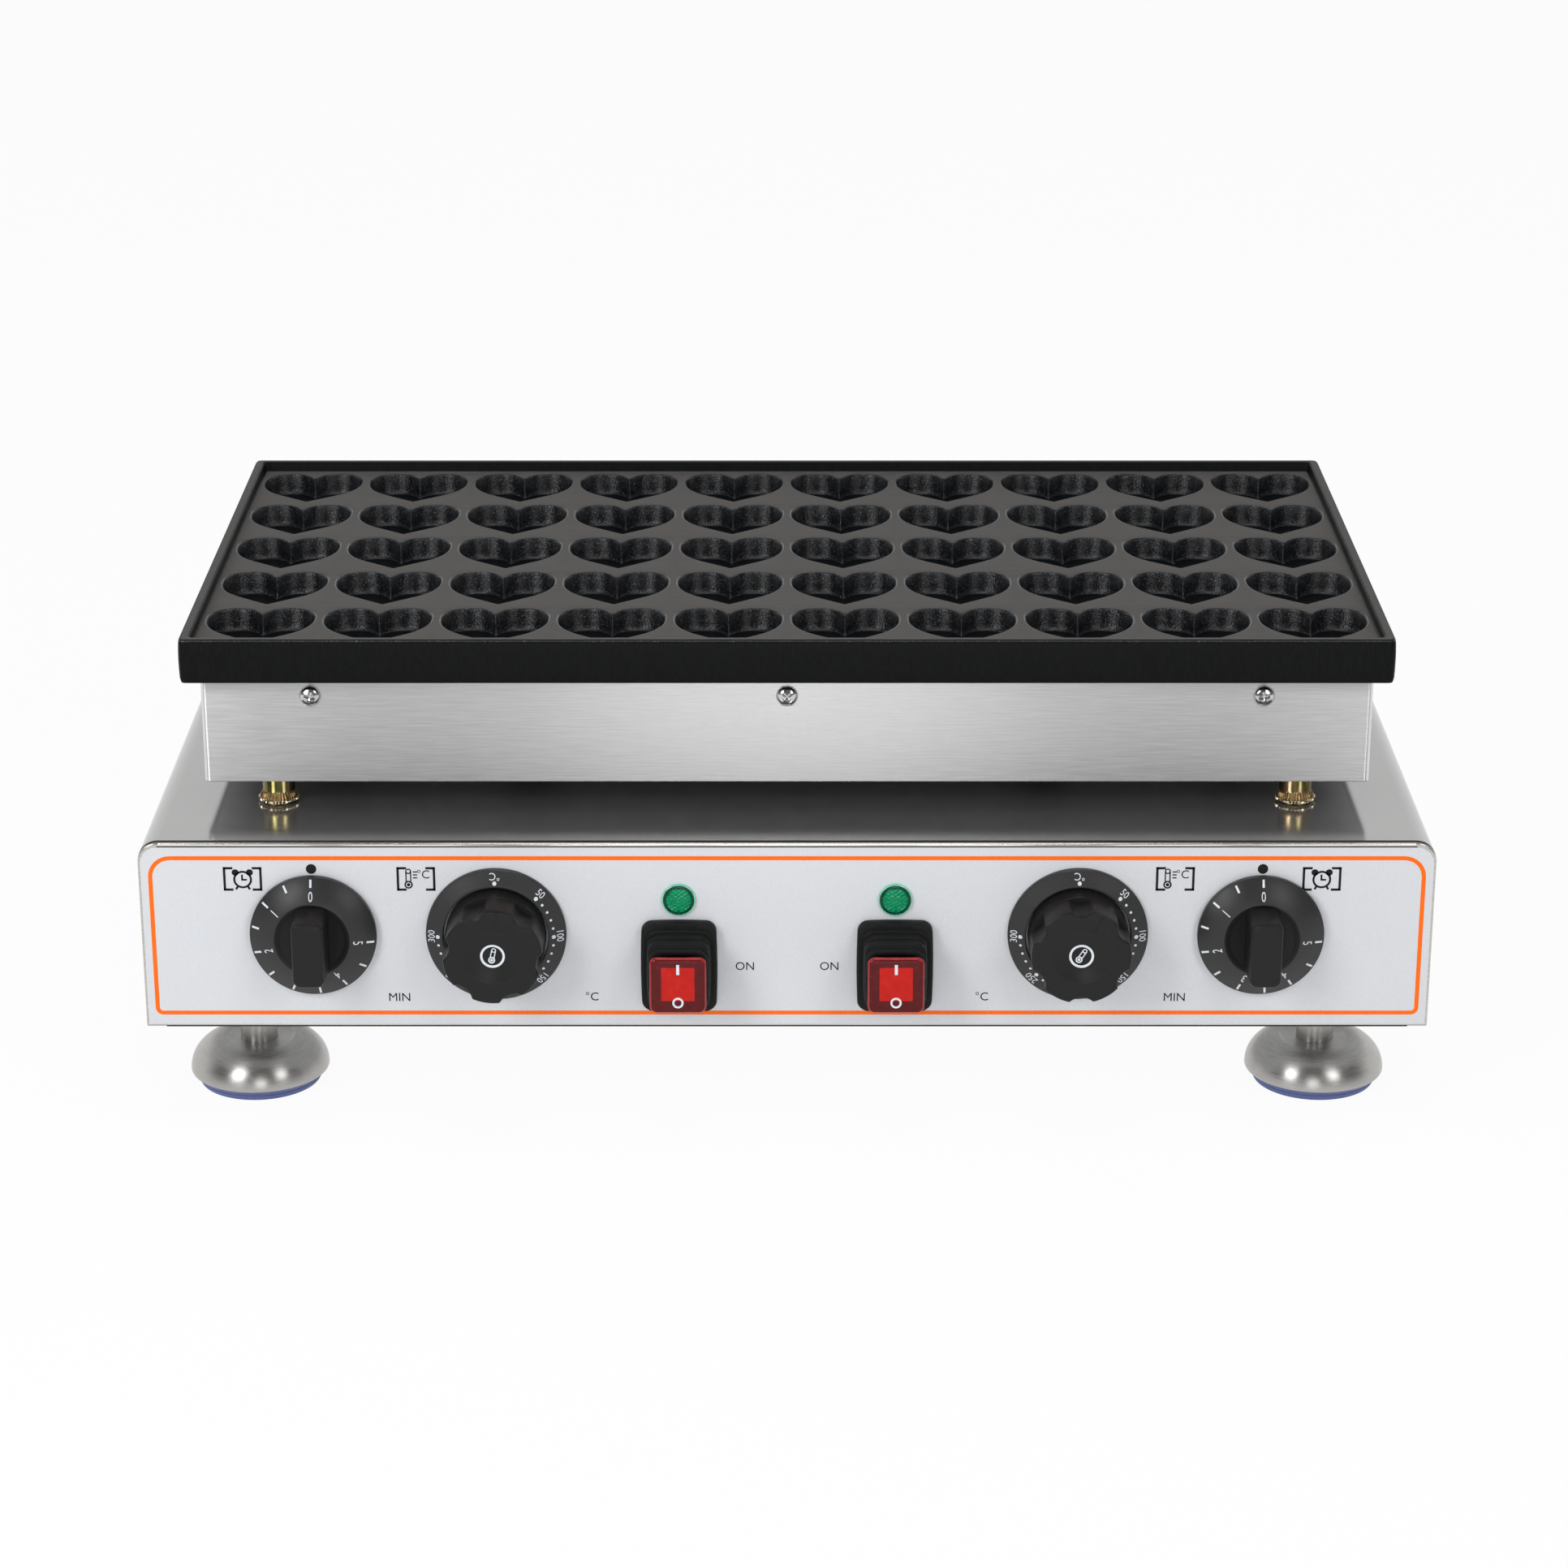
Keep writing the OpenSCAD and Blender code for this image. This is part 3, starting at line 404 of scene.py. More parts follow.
finish("coat_well", (0.002, 0.0025, 0.0035), (0.1, 0.11, 0.13), (0.32, 0.38), 1700, bump=0.25,
       bump_scale=1300, detail=1, specular=0.6, contrast=(0.63, 0.7), brush=0.95)
# Duller copy of the well coating, without its pale flecks, for the well floors: painted shade
finish("coat_floor", (0.0025, 0.003, 0.0035), (0.005, 0.0055, 0.0065), (0.4, 0.5), 900, bump=0.1,
       bump_scale=1000, specular=0.08)
finish("coat_skirt", (0.0022, 0.0025, 0.0025), (0.0042, 0.0047, 0.0047), (0.36, 0.5), 900,
       grain=(1, 1, 0.3), bump=0.06, bump_scale=1600, specular=0.1)
finish("film_white", (0.61, 0.625, 0.653), (0.64, 0.655, 0.683), (0.4, 0.46), 1500, bump=0.002,
       specular=0.25)
finish("print_orange", (0.95, 0.145, 0.008), (1, 0.165, 0.011), (0.5, 0.6), 800, specular=0.1)
finish("print_black", (0.008, 0.008, 0.008), (0.012, 0.012, 0.012), (0.45, 0.55), 800, specular=0.15)
finish("print_white", (0.62, 0.66, 0.71), (0.7, 0.735, 0.78), (0.45, 0.55), 800, specular=0.2)
finish("plastic_dial", (0.011, 0.011, 0.0112), (0.016, 0.016, 0.0158), (0.38, 0.46), 1800, bump=0.03)
# Darker knob plastic; in the timer's hub hollow it is painted shade
finish("plastic_knob", (0.008, 0.008, 0.0079), (0.012, 0.012, 0.0117), (0.34, 0.42), 2200, bump=0.015,
       specular=0.22)
finish("rubber_black", (0.006, 0.0064, 0.0062), (0.01, 0.0106, 0.0104), (0.5, 0.62), 1200, bump=0.03,
       specular=0.15)
finish("rubber_blue", (0.07, 0.098, 0.26), (0.1, 0.135, 0.34), (0.45, 0.6), 700, bump=0.02)
finish("cap_red", (0.085, 0.0095, 0.01), (0.105, 0.012, 0.013), (0.2, 0.28), 300, specular=0.12)
# Red window of the rocker, which also glows faintly: painted light
finish("cap_window", (0.42, 0.012, 0.009), (0.49, 0.015, 0.01), (0.2, 0.28), 260, specular=0.12,
       glow=(0.6, 0.012, 0.008, 0.05))
# Lighter red for the cap's edge band: a painted highlight
finish("cap_edge", (0.27, 0.004, 0.009), (0.34, 0.006, 0.012), (0.1, 0.16), 300, specular=0.4)
# Green lens, which also glows faintly: painted light
finish("lens_green", (0, 0.19, 0.08), (0.001, 0.28, 0.117), (0.12, 0.2), 600, specular=0.35,
       glow=(0, 0.35, 0.14, 0.06))
# Pale copy of the lens green for its rim: a painted highlight
finish("lens_rim", (0.1, 0.5, 0.33), (0.17, 0.62, 0.43), (0.08, 0.16), 500)
# Dark copy of the lens green for the groove inside the rim: painted shade
finish("lens_groove", (0.001, 0.035, 0.02), (0.003, 0.06, 0.034), (0.2, 0.3), 900, specular=0.3)
finish("nylon_black", (0.016, 0.016, 0.016), (0.024, 0.024, 0.024), (0.4, 0.52), 1500, bump=0.02)
finish("plastic_pale", (0.6, 0.57, 0.48), (0.7, 0.67, 0.58), (0.4, 0.55), 600)
finish("wool", (0.55, 0.52, 0.44), (0.75, 0.71, 0.62), (0.85, 0.95), 500, bump=0.6)
finish("heater_skin", (0.16, 0.15, 0.14), (0.3, 0.28, 0.26), (0.4, 0.55), 300, 1)
finish("copper", (0.55, 0.26, 0.15), (0.7, 0.38, 0.24), (0.25, 0.4), 300, 1)
finish("sleeve_red", (0.35, 0.04, 0.03), (0.48, 0.07, 0.05), (0.6, 0.75), 900, bump=0.05)

# Frame nodes that no piece replaces, by finish
NODE_FINISH = {
    "steel_polished": "base_wrap",
    "steel_brushed": "rear_panel",
    "film_white": "control_film",
    "steel_dull": "bottom_cover heater_box_floor wire_conduits",
    "wool": "insulation",
    "steel_screw": "bottom_screws foot_nuts pillar_bolts m6_nuts heater_clamps clamp_studs timer_shaft_left "
                   "timer_shaft_right thermostat_shaft_left thermostat_shaft_right",
    "plastic_pale": "timer_body_left timer_body_right thermostat_body_left thermostat_body_right "
                    "lamp_sockets terminal_block",
    "nylon_black": "switch_bodies gland_nut",
    "heater_skin": "heater_left heater_right",
    "copper": "sensor_left sensor_right",
    "sleeve_red": "wiring",
}
for look, nodes in NODE_FINISH.items():
    for node in nodes.split():
        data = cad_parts[node].data
        data.materials.clear()
        data.materials.append(looks[look])


# Baking plate

# Straight sides of a heart, from its tip to where they touch the flanks
TO_FLANK = Vector((HEART_W / 2 - FLANK_R, WIDEST_Y + HEART_L / 2))
TIP_RISE = atan2(TO_FLANK.y, TO_FLANK.x) - asin(FLANK_R / TO_FLANK.length)
TOUCH_Y = sqrt(TO_FLANK.length_squared - FLANK_R ** 2) * sin(TIP_RISE) - HEART_L / 2


def ray_circle(direction, centre, r):
    """Where a ray from the origin leaves a circle, or 0 if it misses."""
    along = direction.dot(centre)
    room = along * along - centre.length_squared + r * r
    return along + sqrt(room) if room >= 0 else 0


def heart_reach(direction):
    """Distance from a heart's middle to its outline along a direction."""
    lobe_y = HEART_L / 2 - LOBE_R
    lobes, flanks = [], []
    for s in (-1, 1):
        lobes.append(ray_circle(direction, Vector((s * (HEART_W / 2 - LOBE_R), lobe_y)), LOBE_R))
        flanks.append(ray_circle(direction, Vector((s * (FLANK_R - HEART_W / 2), WIDEST_Y)), FLANK_R))
    body = min(flanks)
    if direction.y > 0:
        body = min(body, lobe_y / direction.y)
    away = max(abs(direction.x) * sin(TIP_RISE) - direction.y * cos(TIP_RISE), 1e-6)
    side = HEART_L / 2 * cos(TIP_RISE) / away
    if side * direction.y < TOUCH_Y:
        body = max(body, side)
    near = max(CUSP_BLEND - abs(lobes[0] - lobes[1]), 0) / CUSP_BLEND
    return max(body, max(lobes) + near * near * CUSP_BLEND / 4)


def cell_border():
    """Points around a heart's cell, counter-clockwise from its lower right, closest by the cusp and tip."""
    half = Vector((PITCH_X / 2, PITCH_Y / 2))
    corners = [Vector((half.x, -half.y)), half, Vector((-half.x, half.y)), -half]
    points = []
    for k in range(4):
        for i in range(CELL_STEPS):
            t = 2 * i / CELL_STEPS - 1
            t = copysign(abs(t) ** CUSP_CROWD, t) if k % 2 else t
            points.append(corners[k].lerp(corners[(k + 1) % 4], (t + 1) / 2))
    return points


# Cross-sections: (inset from the outline, depth) of a well from its lip to its floor, and (inset, height) of
# the plate's rim from the deck over the top and down the skirt
WELL_LEVELS = (
    (-0.7, 0), (-0.2, 0.12), (0.1, 0.45), (0.3, 1.2), (0.85, 7.2), (1.05, 8.3), (1.5, 9.2), (2.2, 9.8),
    (3.1, WELL_DEPTH))
RIM_LEVELS = (
    (5.75, 16.25), (5.45, 16.9), (5.15, 19.6), (4.8, 20.3), (4.2, 20.6), (1.5, 20.6), (0.8, 20.35),
    (0.42, 19.8), (0.2, 17.8), (0.04, 14), (0, 10.5), (0.05, 6), (0.2, 2), (0.45, 0.75), (0.9, 0.2),
    (1.6, 0))
RIM_R = 3
RIM_LEAST_R = 1.5
# First and last ring, and finish, of the rim's inner side, its flat top, the two parts of its outer edge
# and the skirt
RIM_PARTS = ((0, 5, 0), (5, 6, 1), (6, 7, 0), (7, 8, 2), (8, 16, 0))


def baking_plate():
    high = node_box("baking_plate")[1]
    rows_high = node_box("heart_rows_odd")[1]
    deck_z = rows_high.z
    bottom = node_box("heater_box")[1].z
    deck_half = Vector((rows_high.x - DECK_GAP, rows_high.y - DECK_GAP))
    border = cell_border()
    outline = [p.normalized() * heart_reach(p.normalized()) for p in border]
    shape = Shape()
    edge = {}
    for col in range(HEART_COLS):
        for row in range(HEART_ROWS):
            middle = Vector(((col - (HEART_COLS - 1) / 2) * PITCH_X, (row - (HEART_ROWS - 1) / 2) * PITCH_Y))
            cell = [middle + p for p in border]
            for p in cell:
                if abs(p.x) > HEART_COLS / 2 * PITCH_X - 0.01:
                    p.x = copysign(deck_half.x, p.x)
                if abs(p.y) > HEART_ROWS / 2 * PITCH_Y - 0.01:
                    p.y = copysign(deck_half.y, p.y)
                if abs(p.x) == deck_half.x or abs(p.y) == deck_half.y:
                    edge[(round(p.x, 3), round(p.y, 3))] = p
            rings = []
            for inset, depth in WELL_LEVELS:
                ring = [middle + p * (1 - inset / p.length) for p in outline]
                rings.append(raised(ring, deck_z - depth))
            for share in (0.5, 0.2):
                rings.append([(middle.x + p.x * share, middle.y + p.y * share, deck_z - WELL_DEPTH)
                              for p in outline])
            shape.loft([raised(cell, deck_z), rings[0]], slot=1, caps=(False, False))
            walls = len(WELL_LEVELS)
            shape.loft(rings[:walls], slot=2, caps=(False, False))
            # The well floors take the duller copy of the coating, painted shade in the wells
            shape.loft(rings[walls - 1:], slot=3, caps=(False, True))
    ring = sorted(edge.values(), key=lambda p: atan2(p.y / deck_half.y, p.x / deck_half.x))
    half = high.xy
    rings = [raised(ring, deck_z)]
    for inset, level in RIM_LEVELS:
        reach = half - Vector((inset, inset))
        r = max(RIM_R - inset, RIM_LEAST_R)
        points = []
        for p in ring:
            q = Vector((p.x * reach.x / deck_half.x, p.y * reach.y / deck_half.y))
            corner = Vector((copysign(reach.x - r, q.x), copysign(reach.y - r, q.y)))
            if abs(q.x) > reach.x - r and abs(q.y) > reach.y - r:
                q = corner + (q - corner).normalized() * r
            points.append((q.x, q.y, bottom + level))
        rings.append(points)
    for first, last, slot in RIM_PARTS:
        shape.loft(rings[first:last + 1], slot=slot, caps=(False, last == len(RIM_LEVELS)))
    lug = Shape().slab(LUG_W, LUG_T, 1.2, ((0.6, -LUG_H), (0, -LUG_H + 0.6), (0, 0.3)))
    for x in SCREW_XS:
        for s in (-1, 1):
            y = s * (node_box("heater_box")[1].y - LUG_INSET - LUG_T / 2)
            shape.take(lug, moved(x, y, bottom))
    piece("plate_casting", shape, "coat_skirt coat_deck coat_well coat_floor", "base",
          ["baking_plate", "heart_rows_odd", "heart_rows_even"], sharp=60)


# Heater box and its screws

BOX_SHEET = 1.5
BOX_BEND_R = 2.6
SCREW_XS = (-215, 0, 215)
SCREW_DROP = 8.8
SCREW_HEAD_D = 10
SCREW_HEAD_H = 3.2
SCREW_BODY_D = 4
SCREW_BODY_L = 9
CROSS_ARM = 2.7
CROSS_W = 1.5
SCREW_TURNS = (18, 49, 80)


def heater_box():
    """Wall of the box, with its bends and its lower edge in a smoother finish."""
    low, high = node_box("heater_box")
    w, d = high.x - low.x, high.y - low.y
    levels = ((0.3, low.z), (0, low.z + 0.3), (0, high.z), (BOX_SHEET, high.z), (BOX_SHEET, low.z))
    shape = Shape().slab(w, d, BOX_BEND_R, levels, closed=True)
    around = len(shape.faces) // len(levels)
    corner = around // 4
    for i in range(around):
        shape.slots[i] = 1
        shape.slots[around + i] = 1 if i % corner in (2, 3) else 0
    piece("heater_box_wall", shape, "steel_brushed steel_bend", "base", ["heater_box"])


def cross_reach(a):
    """Outline of the cross recess about the origin."""
    c, s = abs(cos(a)) + 1e-9, abs(sin(a)) + 1e-9
    return max(min(CROSS_ARM / c, CROSS_W / 2 / s), min(CROSS_ARM / s, CROSS_W / 2 / c))


def pan_head():
    """Pan-head screw with a cross recess, standing on z = 0 with its body below."""
    r, h, body_r = SCREW_HEAD_D / 2, SCREW_HEAD_H, SCREW_BODY_D / 2
    corner = atan2(CROSS_W / 2, CROSS_ARM)
    angles = sorted({round(q * pi / 2 + k, 6) for q in range(4)
                     for k in (0, corner / 2, corner, pi / 8, pi / 4, 3 * pi / 8,
                               pi / 2 - corner, pi / 2 - corner / 2)})
    dome = [(body_r, -SCREW_BODY_L), (body_r, 0), (r, 0), (r, 0.15 * h)]
    dome += [(r * cos(t), h * (0.15 + 0.85 * sin(t))) for t in (0.3, 0.6, 0.85)]
    rings = [[(q * cos(a), q * sin(a), z) for a in angles] for q, z in dome]
    top = lambda q: h * (0.15 + 0.85 * sqrt(max(1 - (q / r) ** 2, 0)))
    for grow, drop in ((1, 0), (0.95, 0.12), (0.75, 0.55 * h), (0.25, 0.7 * h)):
        reach = [cross_reach(a) * grow for a in angles]
        rings.append([(q * cos(a), q * sin(a), top(q) - drop) for q, a in zip(reach, angles)])
    return Shape().loft(rings)


def box_screws():
    shape = Shape()
    high = node_box("heater_box")[1]
    screw = pan_head()
    for x, degrees in zip(SCREW_XS, SCREW_TURNS):
        for s in (-1, 1):
            outward = Matrix.Rotation(-s * pi / 2, 4, "X")
            place = moved(x, s * high.y, high.z - SCREW_DROP) @ outward
            shape.take(screw, place @ spun(degrees))
    piece("box_screw_heads", shape, "steel_screw", "base", ["box_screws"], sharp=40)


# Pillars

PILLAR_D = 14.6
COLLAR_D = 18.8
PILLAR_BORE = 6.6
BEADS = 36
BEAD_RISE = 0.42


def pillars():
    low, high = node_box("pillars")
    r, collar = PILLAR_D / 2, COLLAR_D / 2
    reach = high.xy - Vector((collar, collar))
    height = high.z - low.z
    wave = lambda share: lambda k, a: share[k] * BEAD_RISE * (cos(BEADS * a) - 0.4)
    flat = [0] * 5
    ends = ((collar - 0.35, 1.2), (collar - 0.6, 2.5), (r, 5.6))
    bore = PILLAR_BORE / 2
    parts = (
        (0, ((r, height / 2), (r, height - 0.4), (r - 0.4, height), (bore, height)), flat),
        (0, ((bore, height), (bore, 0)), flat),
        (1, ((bore, 0), (collar - 1.5, 0), (collar - 1, 0.25), (collar - 0.9, 0.9), ends[0]), flat),
        # The bead band takes the paler zinc, painted glints on its crests
        (2, (ends[0], (collar - 0.15, 1.6), (collar - 0.15, 2.1), ends[1]), [0, 1, 1, 0]),
        (1, (ends[1], (collar - 1, 3.2), (r + 0.6, 4.2), (r + 0.2, 4.9), ends[2]), [0, 0.7, 0.7, 0.4, 0]),
        (0, (ends[2], (r, height / 2)), flat))
    post = Shape()
    for slot, profile, share in parts:
        post.lathe(profile, slot, segments=6 * BEADS, wave=wave(share), caps=(False, False))
    shape = Shape()
    for x in (-1, 1):
        for y in (-1, 1):
            shape.take(post, moved(x * reach.x, y * reach.y, low.z))
    piece("pillar_posts", shape, "zinc_yellow zinc_brown zinc_bead", "base", ["pillars"])


# Base front: the panel's rounded edge and the prints on its film

FILM_Y = node_box("control_film")[0].y
PANEL_R = 9
PANEL_FOOT_R = 0.6
PANEL_EDGE = 0.7
SHAFT_HOLE_R = 5.5
LAMP_HOLE_R = 5.6
SWITCH_HOLE = (26, 36)


def front_panel():
    """The panel with its holes, as in the frame, but with a rounded edge."""
    low, high = node_box("front_panel")
    outlines = [arched(high.x - low.x, high.z - low.z, PANEL_R, PANEL_FOOT_R)]
    for side, s in SIDES.items():
        for control in ("timer", "thermostat"):
            at = node_middle(f"{control}_shaft_{side}")
            outlines.append(circle(SHAFT_HOLE_R, 32, at.x, at.z - low.z))
        outlines.append(circle(LAMP_HOLE_R, 32, s * SWITCH_X, LAMP_Z - low.z))
        hole = rounded_rect(*SWITCH_HOLE, 0.5)
        outlines.append([(s * SWITCH_X + x, SWITCH_Z - low.z + y) for x, y in hole])
    sheet = plate_with_holes(outlines, high.y - low.y, PANEL_EDGE)
    shape = Shape().take(sheet, facing(0, low.z, high.y))
    piece("panel_sheet", shape, "steel_edge", "base", ["front_panel"])


LIP_R = 0.72
LIP_OUT = 0.3
LIP_RISE = 0.06
SEAM_DEPTH = 1.9
# Width of the dark strips of painted shadow under the lip and along the panel's foot
SHADOW_STRIP_W = 0.5
SEAM_OUT = 0.05
SEAM_IN = -0.25


def panel_edges():
    """Rolled lip along the panel's top, in lighter steel as a painted highlight, the dark joints around it,
    and dark strips of painted shadow under the lip and along the panel's foot.
    """
    low, high = node_box("front_panel")
    straight = high.x - PANEL_R
    middle = (low.y - LIP_OUT + LIP_R, high.z - LIP_R)
    section = [(middle[0] + LIP_R * cos(a), middle[1] + LIP_R * sin(a) + LIP_RISE) for a in turn(20)]
    ends = ((-straight, 0.4), (-straight + 0.5, 0.85), (-straight + 1.2, 1))
    rings = []
    for x, share in ends + tuple((-x, share) for x, share in ends[::-1]):
        rings.append([(x, middle[0] + (y - middle[0]) * share, middle[1] + (z - middle[1]) * share)
                      for y, z in section])
    # The lip's lighter steel is a painted highlight along the bend
    piece("panel_lip", Shape().loft(rings), "steel_lip_highlight", "base")
    rings = []
    back = high.y + SEAM_DEPTH
    for grow, y in ((SEAM_OUT, high.y), (SEAM_OUT, back), (SEAM_IN, back), (SEAM_IN, high.y)):
        outline = arched(high.x - low.x + 2 * grow, high.z - low.z + grow, PANEL_R + grow, PANEL_FOOT_R)
        rings.append([(x, y, z + low.z) for x, z in outline])
    joints_and_shadows = Shape().loft(rings, closed=True)
    film_top = node_box("control_film")[1].z
    # Dark strips of painted shadow: one under the lip, above the film, and one along the panel's foot
    for z in (film_top + SHADOW_STRIP_W / 2, low.z + SHADOW_STRIP_W / 2):
        joints_and_shadows.take(Shape().bar((-straight, z), (straight, z), SHADOW_STRIP_W), facing(0, 0, low.y))
    piece("panel_joints_and_shadows", joints_and_shadows, "seam_and_shadow_dark", "base")


SWITCH_X = sum(corner.x for corner in node_box("rocker_right")) / 2
SWITCH_Z = node_middle("switch_bodies").z
LAMP_Z = node_middle("lamp_lenses").z

BORDER_X = 285.5
BORDER_LOW = 50.6
BORDER_HIGH = 127.6
BORDER_W = 1.9
BORDER_TOP_R = 10
BORDER_FOOT_R = 3.4
DOT_D = 4.7
DOT_Z = 121.5
STROKE = 1.1
SIGN_Z = 116.7
SIGN_W = 16.2
SIGN_H = 11.4
BRACKET_ARM = 3.8
# Words, height, distance from the middle and level of the short labels
LABELS = (("MIN", 3.9, 175, 59.2), ("°C", 4.2, 88, 59.6), ("ON", 3.9, 19, 74.4))
CLOCK_X = {"left": -243.3, "right": 239}
THERMOMETER_X = {"left": -165.8, "right": 173.5}


def brackets(shape):
    for s in (-1, 1):
        shape.bar((s * SIGN_W / 2, -SIGN_H / 2), (s * SIGN_W / 2, SIGN_H / 2), STROKE)
        for e in (-1, 1):
            y = e * (SIGN_H - STROKE) / 2
            shape.bar((s * (SIGN_W / 2 - BRACKET_ARM), y), (s * (SIGN_W / 2 + STROKE / 2), y), STROKE)


def clock_sign():
    """Plain round clock between brackets."""
    shape = Shape()
    brackets(shape)
    shape.hoop((0, -0.3), 4.2, 3.25)
    shape.bar((-0.2, -0.6), (-0.2, 2.1), 0.8)
    shape.bar((-0.6, -0.4), (1.9, -0.4), 0.8)
    for s in (-1, 1):
        shape.bar((s * 2.3, -3.7), (s * 3.1, -5), 1)
        shape.disc((s * 3.2, 3.1), 1.55)
    return shape


def thermometer(h, w, lines=True):
    """Plain thermometer standing on its bulb."""
    bulb = (0, -h / 2 + w)
    shape = Shape().hoop(bulb, w, 0.62 * w).disc(bulb, 0.42 * w)
    for s in (-1, 1):
        shape.bar((s * 0.55 * w, -h / 2 + 1.8 * w), (s * 0.55 * w, h / 2 - 0.5 * w), 0.3 * w)
    shape.hoop((0, h / 2 - 0.55 * w), 0.7 * w, 0.4 * w, segments=24)
    if lines:
        for k in range(3):
            y = h / 2 - w * (0.7 + 0.75 * k)
            shape.bar((1.1 * w, y), (2.1 * w, y), 0.3 * w)
    return shape


def thermometer_sign():
    shape = Shape()
    brackets(shape)
    shape.take(thermometer(9.4, 1.9), moved(-3.4, 0))
    shape.take(lettering("°C", 4.2, 0.95), moved(3.3, 2.3))
    return shape


def panel_prints():
    rings = []
    for inset, z in ((0, 0), (0, PRINT_T), (BORDER_W, PRINT_T), (BORDER_W, 0)):
        outline = arched(2 * (BORDER_X - inset), BORDER_HIGH - BORDER_LOW - 2 * inset,
                         BORDER_TOP_R - inset, BORDER_FOOT_R - inset)
        rings.append([(x, y + BORDER_LOW + inset, z) for x, y in outline])
    border = Shape().loft(rings, closed=True)
    piece("panel_border", Shape().take(border, facing(0, 0, FILM_Y)), "print_orange", "base")
    signs = Shape()
    clock, heat = clock_sign(), thermometer_sign()
    labels = [(lettering(words, height), x, z) for words, height, x, z in LABELS]
    for side, s in SIDES.items():
        signs.disc((node_middle(f"timer_shaft_{side}").x, DOT_Z), DOT_D / 2)
        signs.take(clock, moved(CLOCK_X[side], SIGN_Z))
        signs.take(heat, moved(THERMOMETER_X[side], SIGN_Z))
        for label, x, z in labels:
            signs.take(label, moved(s * x, z))
    piece("panel_signs", Shape().take(signs, facing(0, 0, FILM_Y)), "print_black", "base")


# Timers

DIAL_GAP = 0.6
SHAFT_BORE_R = 3.06
SOCKET_R = 5.6
SOCKET_END = 4.5
TIMER_R = 28.4
TIMER_EDGE = 3.7
HUB_R = 17
HUB_FACE = 8.9
HUB_STEP = 0.9
GRIP_W = 14.2
GRIP_END = 27.5
TIMER_STEP = 53
MARK_IN = 24.2
MARK_OUT = 27.5
MARK_W = 0.95
DIGIT_AT = 20.5
DIGIT_H = 4.2
GRIP_BOW = 0.07
GRIP_R = 2.6
HUB_FLOOR = HUB_FACE - HUB_STEP
# Level, width and length of the timer's grip
GRIP_LEVELS = (
    (HUB_FLOOR - 1, 15.4, 32.6), (HUB_FLOOR + 0.3, 15.2, 32.4), (HUB_FLOOR + 1.5, 14.8, 32.3),
    (12, 14.6, 32.2), (25.7, GRIP_W, 31.6), (26.7, GRIP_W - 0.5, 31.1), (27.2, GRIP_W - 1.2, 30.4),
    (GRIP_END, GRIP_W - 2.4, 29.2), (GRIP_END - 0.05, GRIP_W - 5, 26))


def timer_face(r):
    """Height of a timer's conical face at a radius."""
    return TIMER_EDGE + (TIMER_R - r) / (TIMER_R - HUB_R) * (HUB_FACE - TIMER_EDGE)


def grip_outline(width, length):
    """Bar with rounded corners, and ends that follow the hub's round edge."""
    return [(x, y * (1 - GRIP_BOW * (2 * x / width) ** 2)) for x, y in rounded_rect(width, length, GRIP_R)]


def timer(side):
    at = node_middle(f"timer_shaft_{side}")
    place = facing(at.x, at.z, FILM_Y)
    face = ((SOCKET_R, DIAL_GAP), (TIMER_R - 0.5, DIAL_GAP), (TIMER_R, DIAL_GAP + 0.5),
            (TIMER_R, TIMER_EDGE - 0.4), (TIMER_R - 0.3, TIMER_EDGE), (HUB_R + 0.5, HUB_FACE - 0.15),
            (HUB_R, HUB_FACE))
    knob = Shape().lathe(face, segments=120, caps=(False, False))
    # The hub's hollow takes the darker knob plastic, painted shade in the recess
    well = ((HUB_R, HUB_FACE), (HUB_R - 0.6, HUB_FACE - 0.1), (HUB_R - 1.8, HUB_FACE - 0.5),
            (HUB_R - 3.2, HUB_FLOOR), (SHAFT_BORE_R, HUB_FLOOR), (SHAFT_BORE_R, SOCKET_END + 0.1),
            (SOCKET_R, SOCKET_END), (SOCKET_R, DIAL_GAP))
    knob.lathe(well, slot=2, segments=120, caps=(False, False))
    rings = [raised(grip_outline(width, length), z) for z, width, length in GRIP_LEVELS]
    knob.loft(rings, slot=2)
    marks = Shape()
    for half_step in range(11):
        marks.take(Shape().bar((0, MARK_IN), (0, MARK_OUT), MARK_W), spun(-TIMER_STEP / 2 * half_step))
    for number in range(6):
        digit = Shape().take(lettering(str(number), DIGIT_H, 0.7), moved(0, DIGIT_AT))
        marks.take(digit, spun(-TIMER_STEP * number))
    knob.take(marks.drape(lambda r: timer_face(r) + 0.02), slot=1)
    piece(f"timer_dial_{side}", Shape().take(knob, place), "plastic_dial print_white plastic_knob",
          f"timer_{side}", [f"timer_knob_{side}"])


# Thermostats

RING_R = 31.5
RING_IN = 23.6
RING_EDGE = 2.4
RING_FACE_IN = 24.8
RING_T = 5
KNOB_R = 22.6
KNOB_END = 28.5
DISH_SPHERE_R = 36
DISH_DEPTH = 2.2
SCALLOP_R = 8
SCALLOP_IN = 2.7
SCALLOPS = 6
SCALLOP_TURN = radians(4)
SCALLOP_START = 13
SET_DEGREES = {"left": 5, "right": 25}
DEGREE_STEP = 45
# Size and place of the numbers, the large and small dots, and the unit's sign
VALUE_H = 3.1
VALUE_AT = 28.9
DOT_AT = 26
DOT_R = 0.9
FINE_AT = 26.1
FINE_R = 0.58
UNIT_H = 3.3
UNIT_AT = 28.6
UNIT_DOT_AT = 25.8
BORE_END = 16.3
# Ends and width of the pointer, place and radius of its dot, and radii of the ring in the dish
POINTER = ((0, 13.4), (0, 21.2), 0.5)
POINTER_DOT = ((0.35, 20.9), 0.7)
ICON_RADII = (5.5, 4.45)


def ring_face(r):
    return RING_EDGE + (RING_R - r) / (RING_R - RING_FACE_IN) * (RING_T - RING_EDGE)


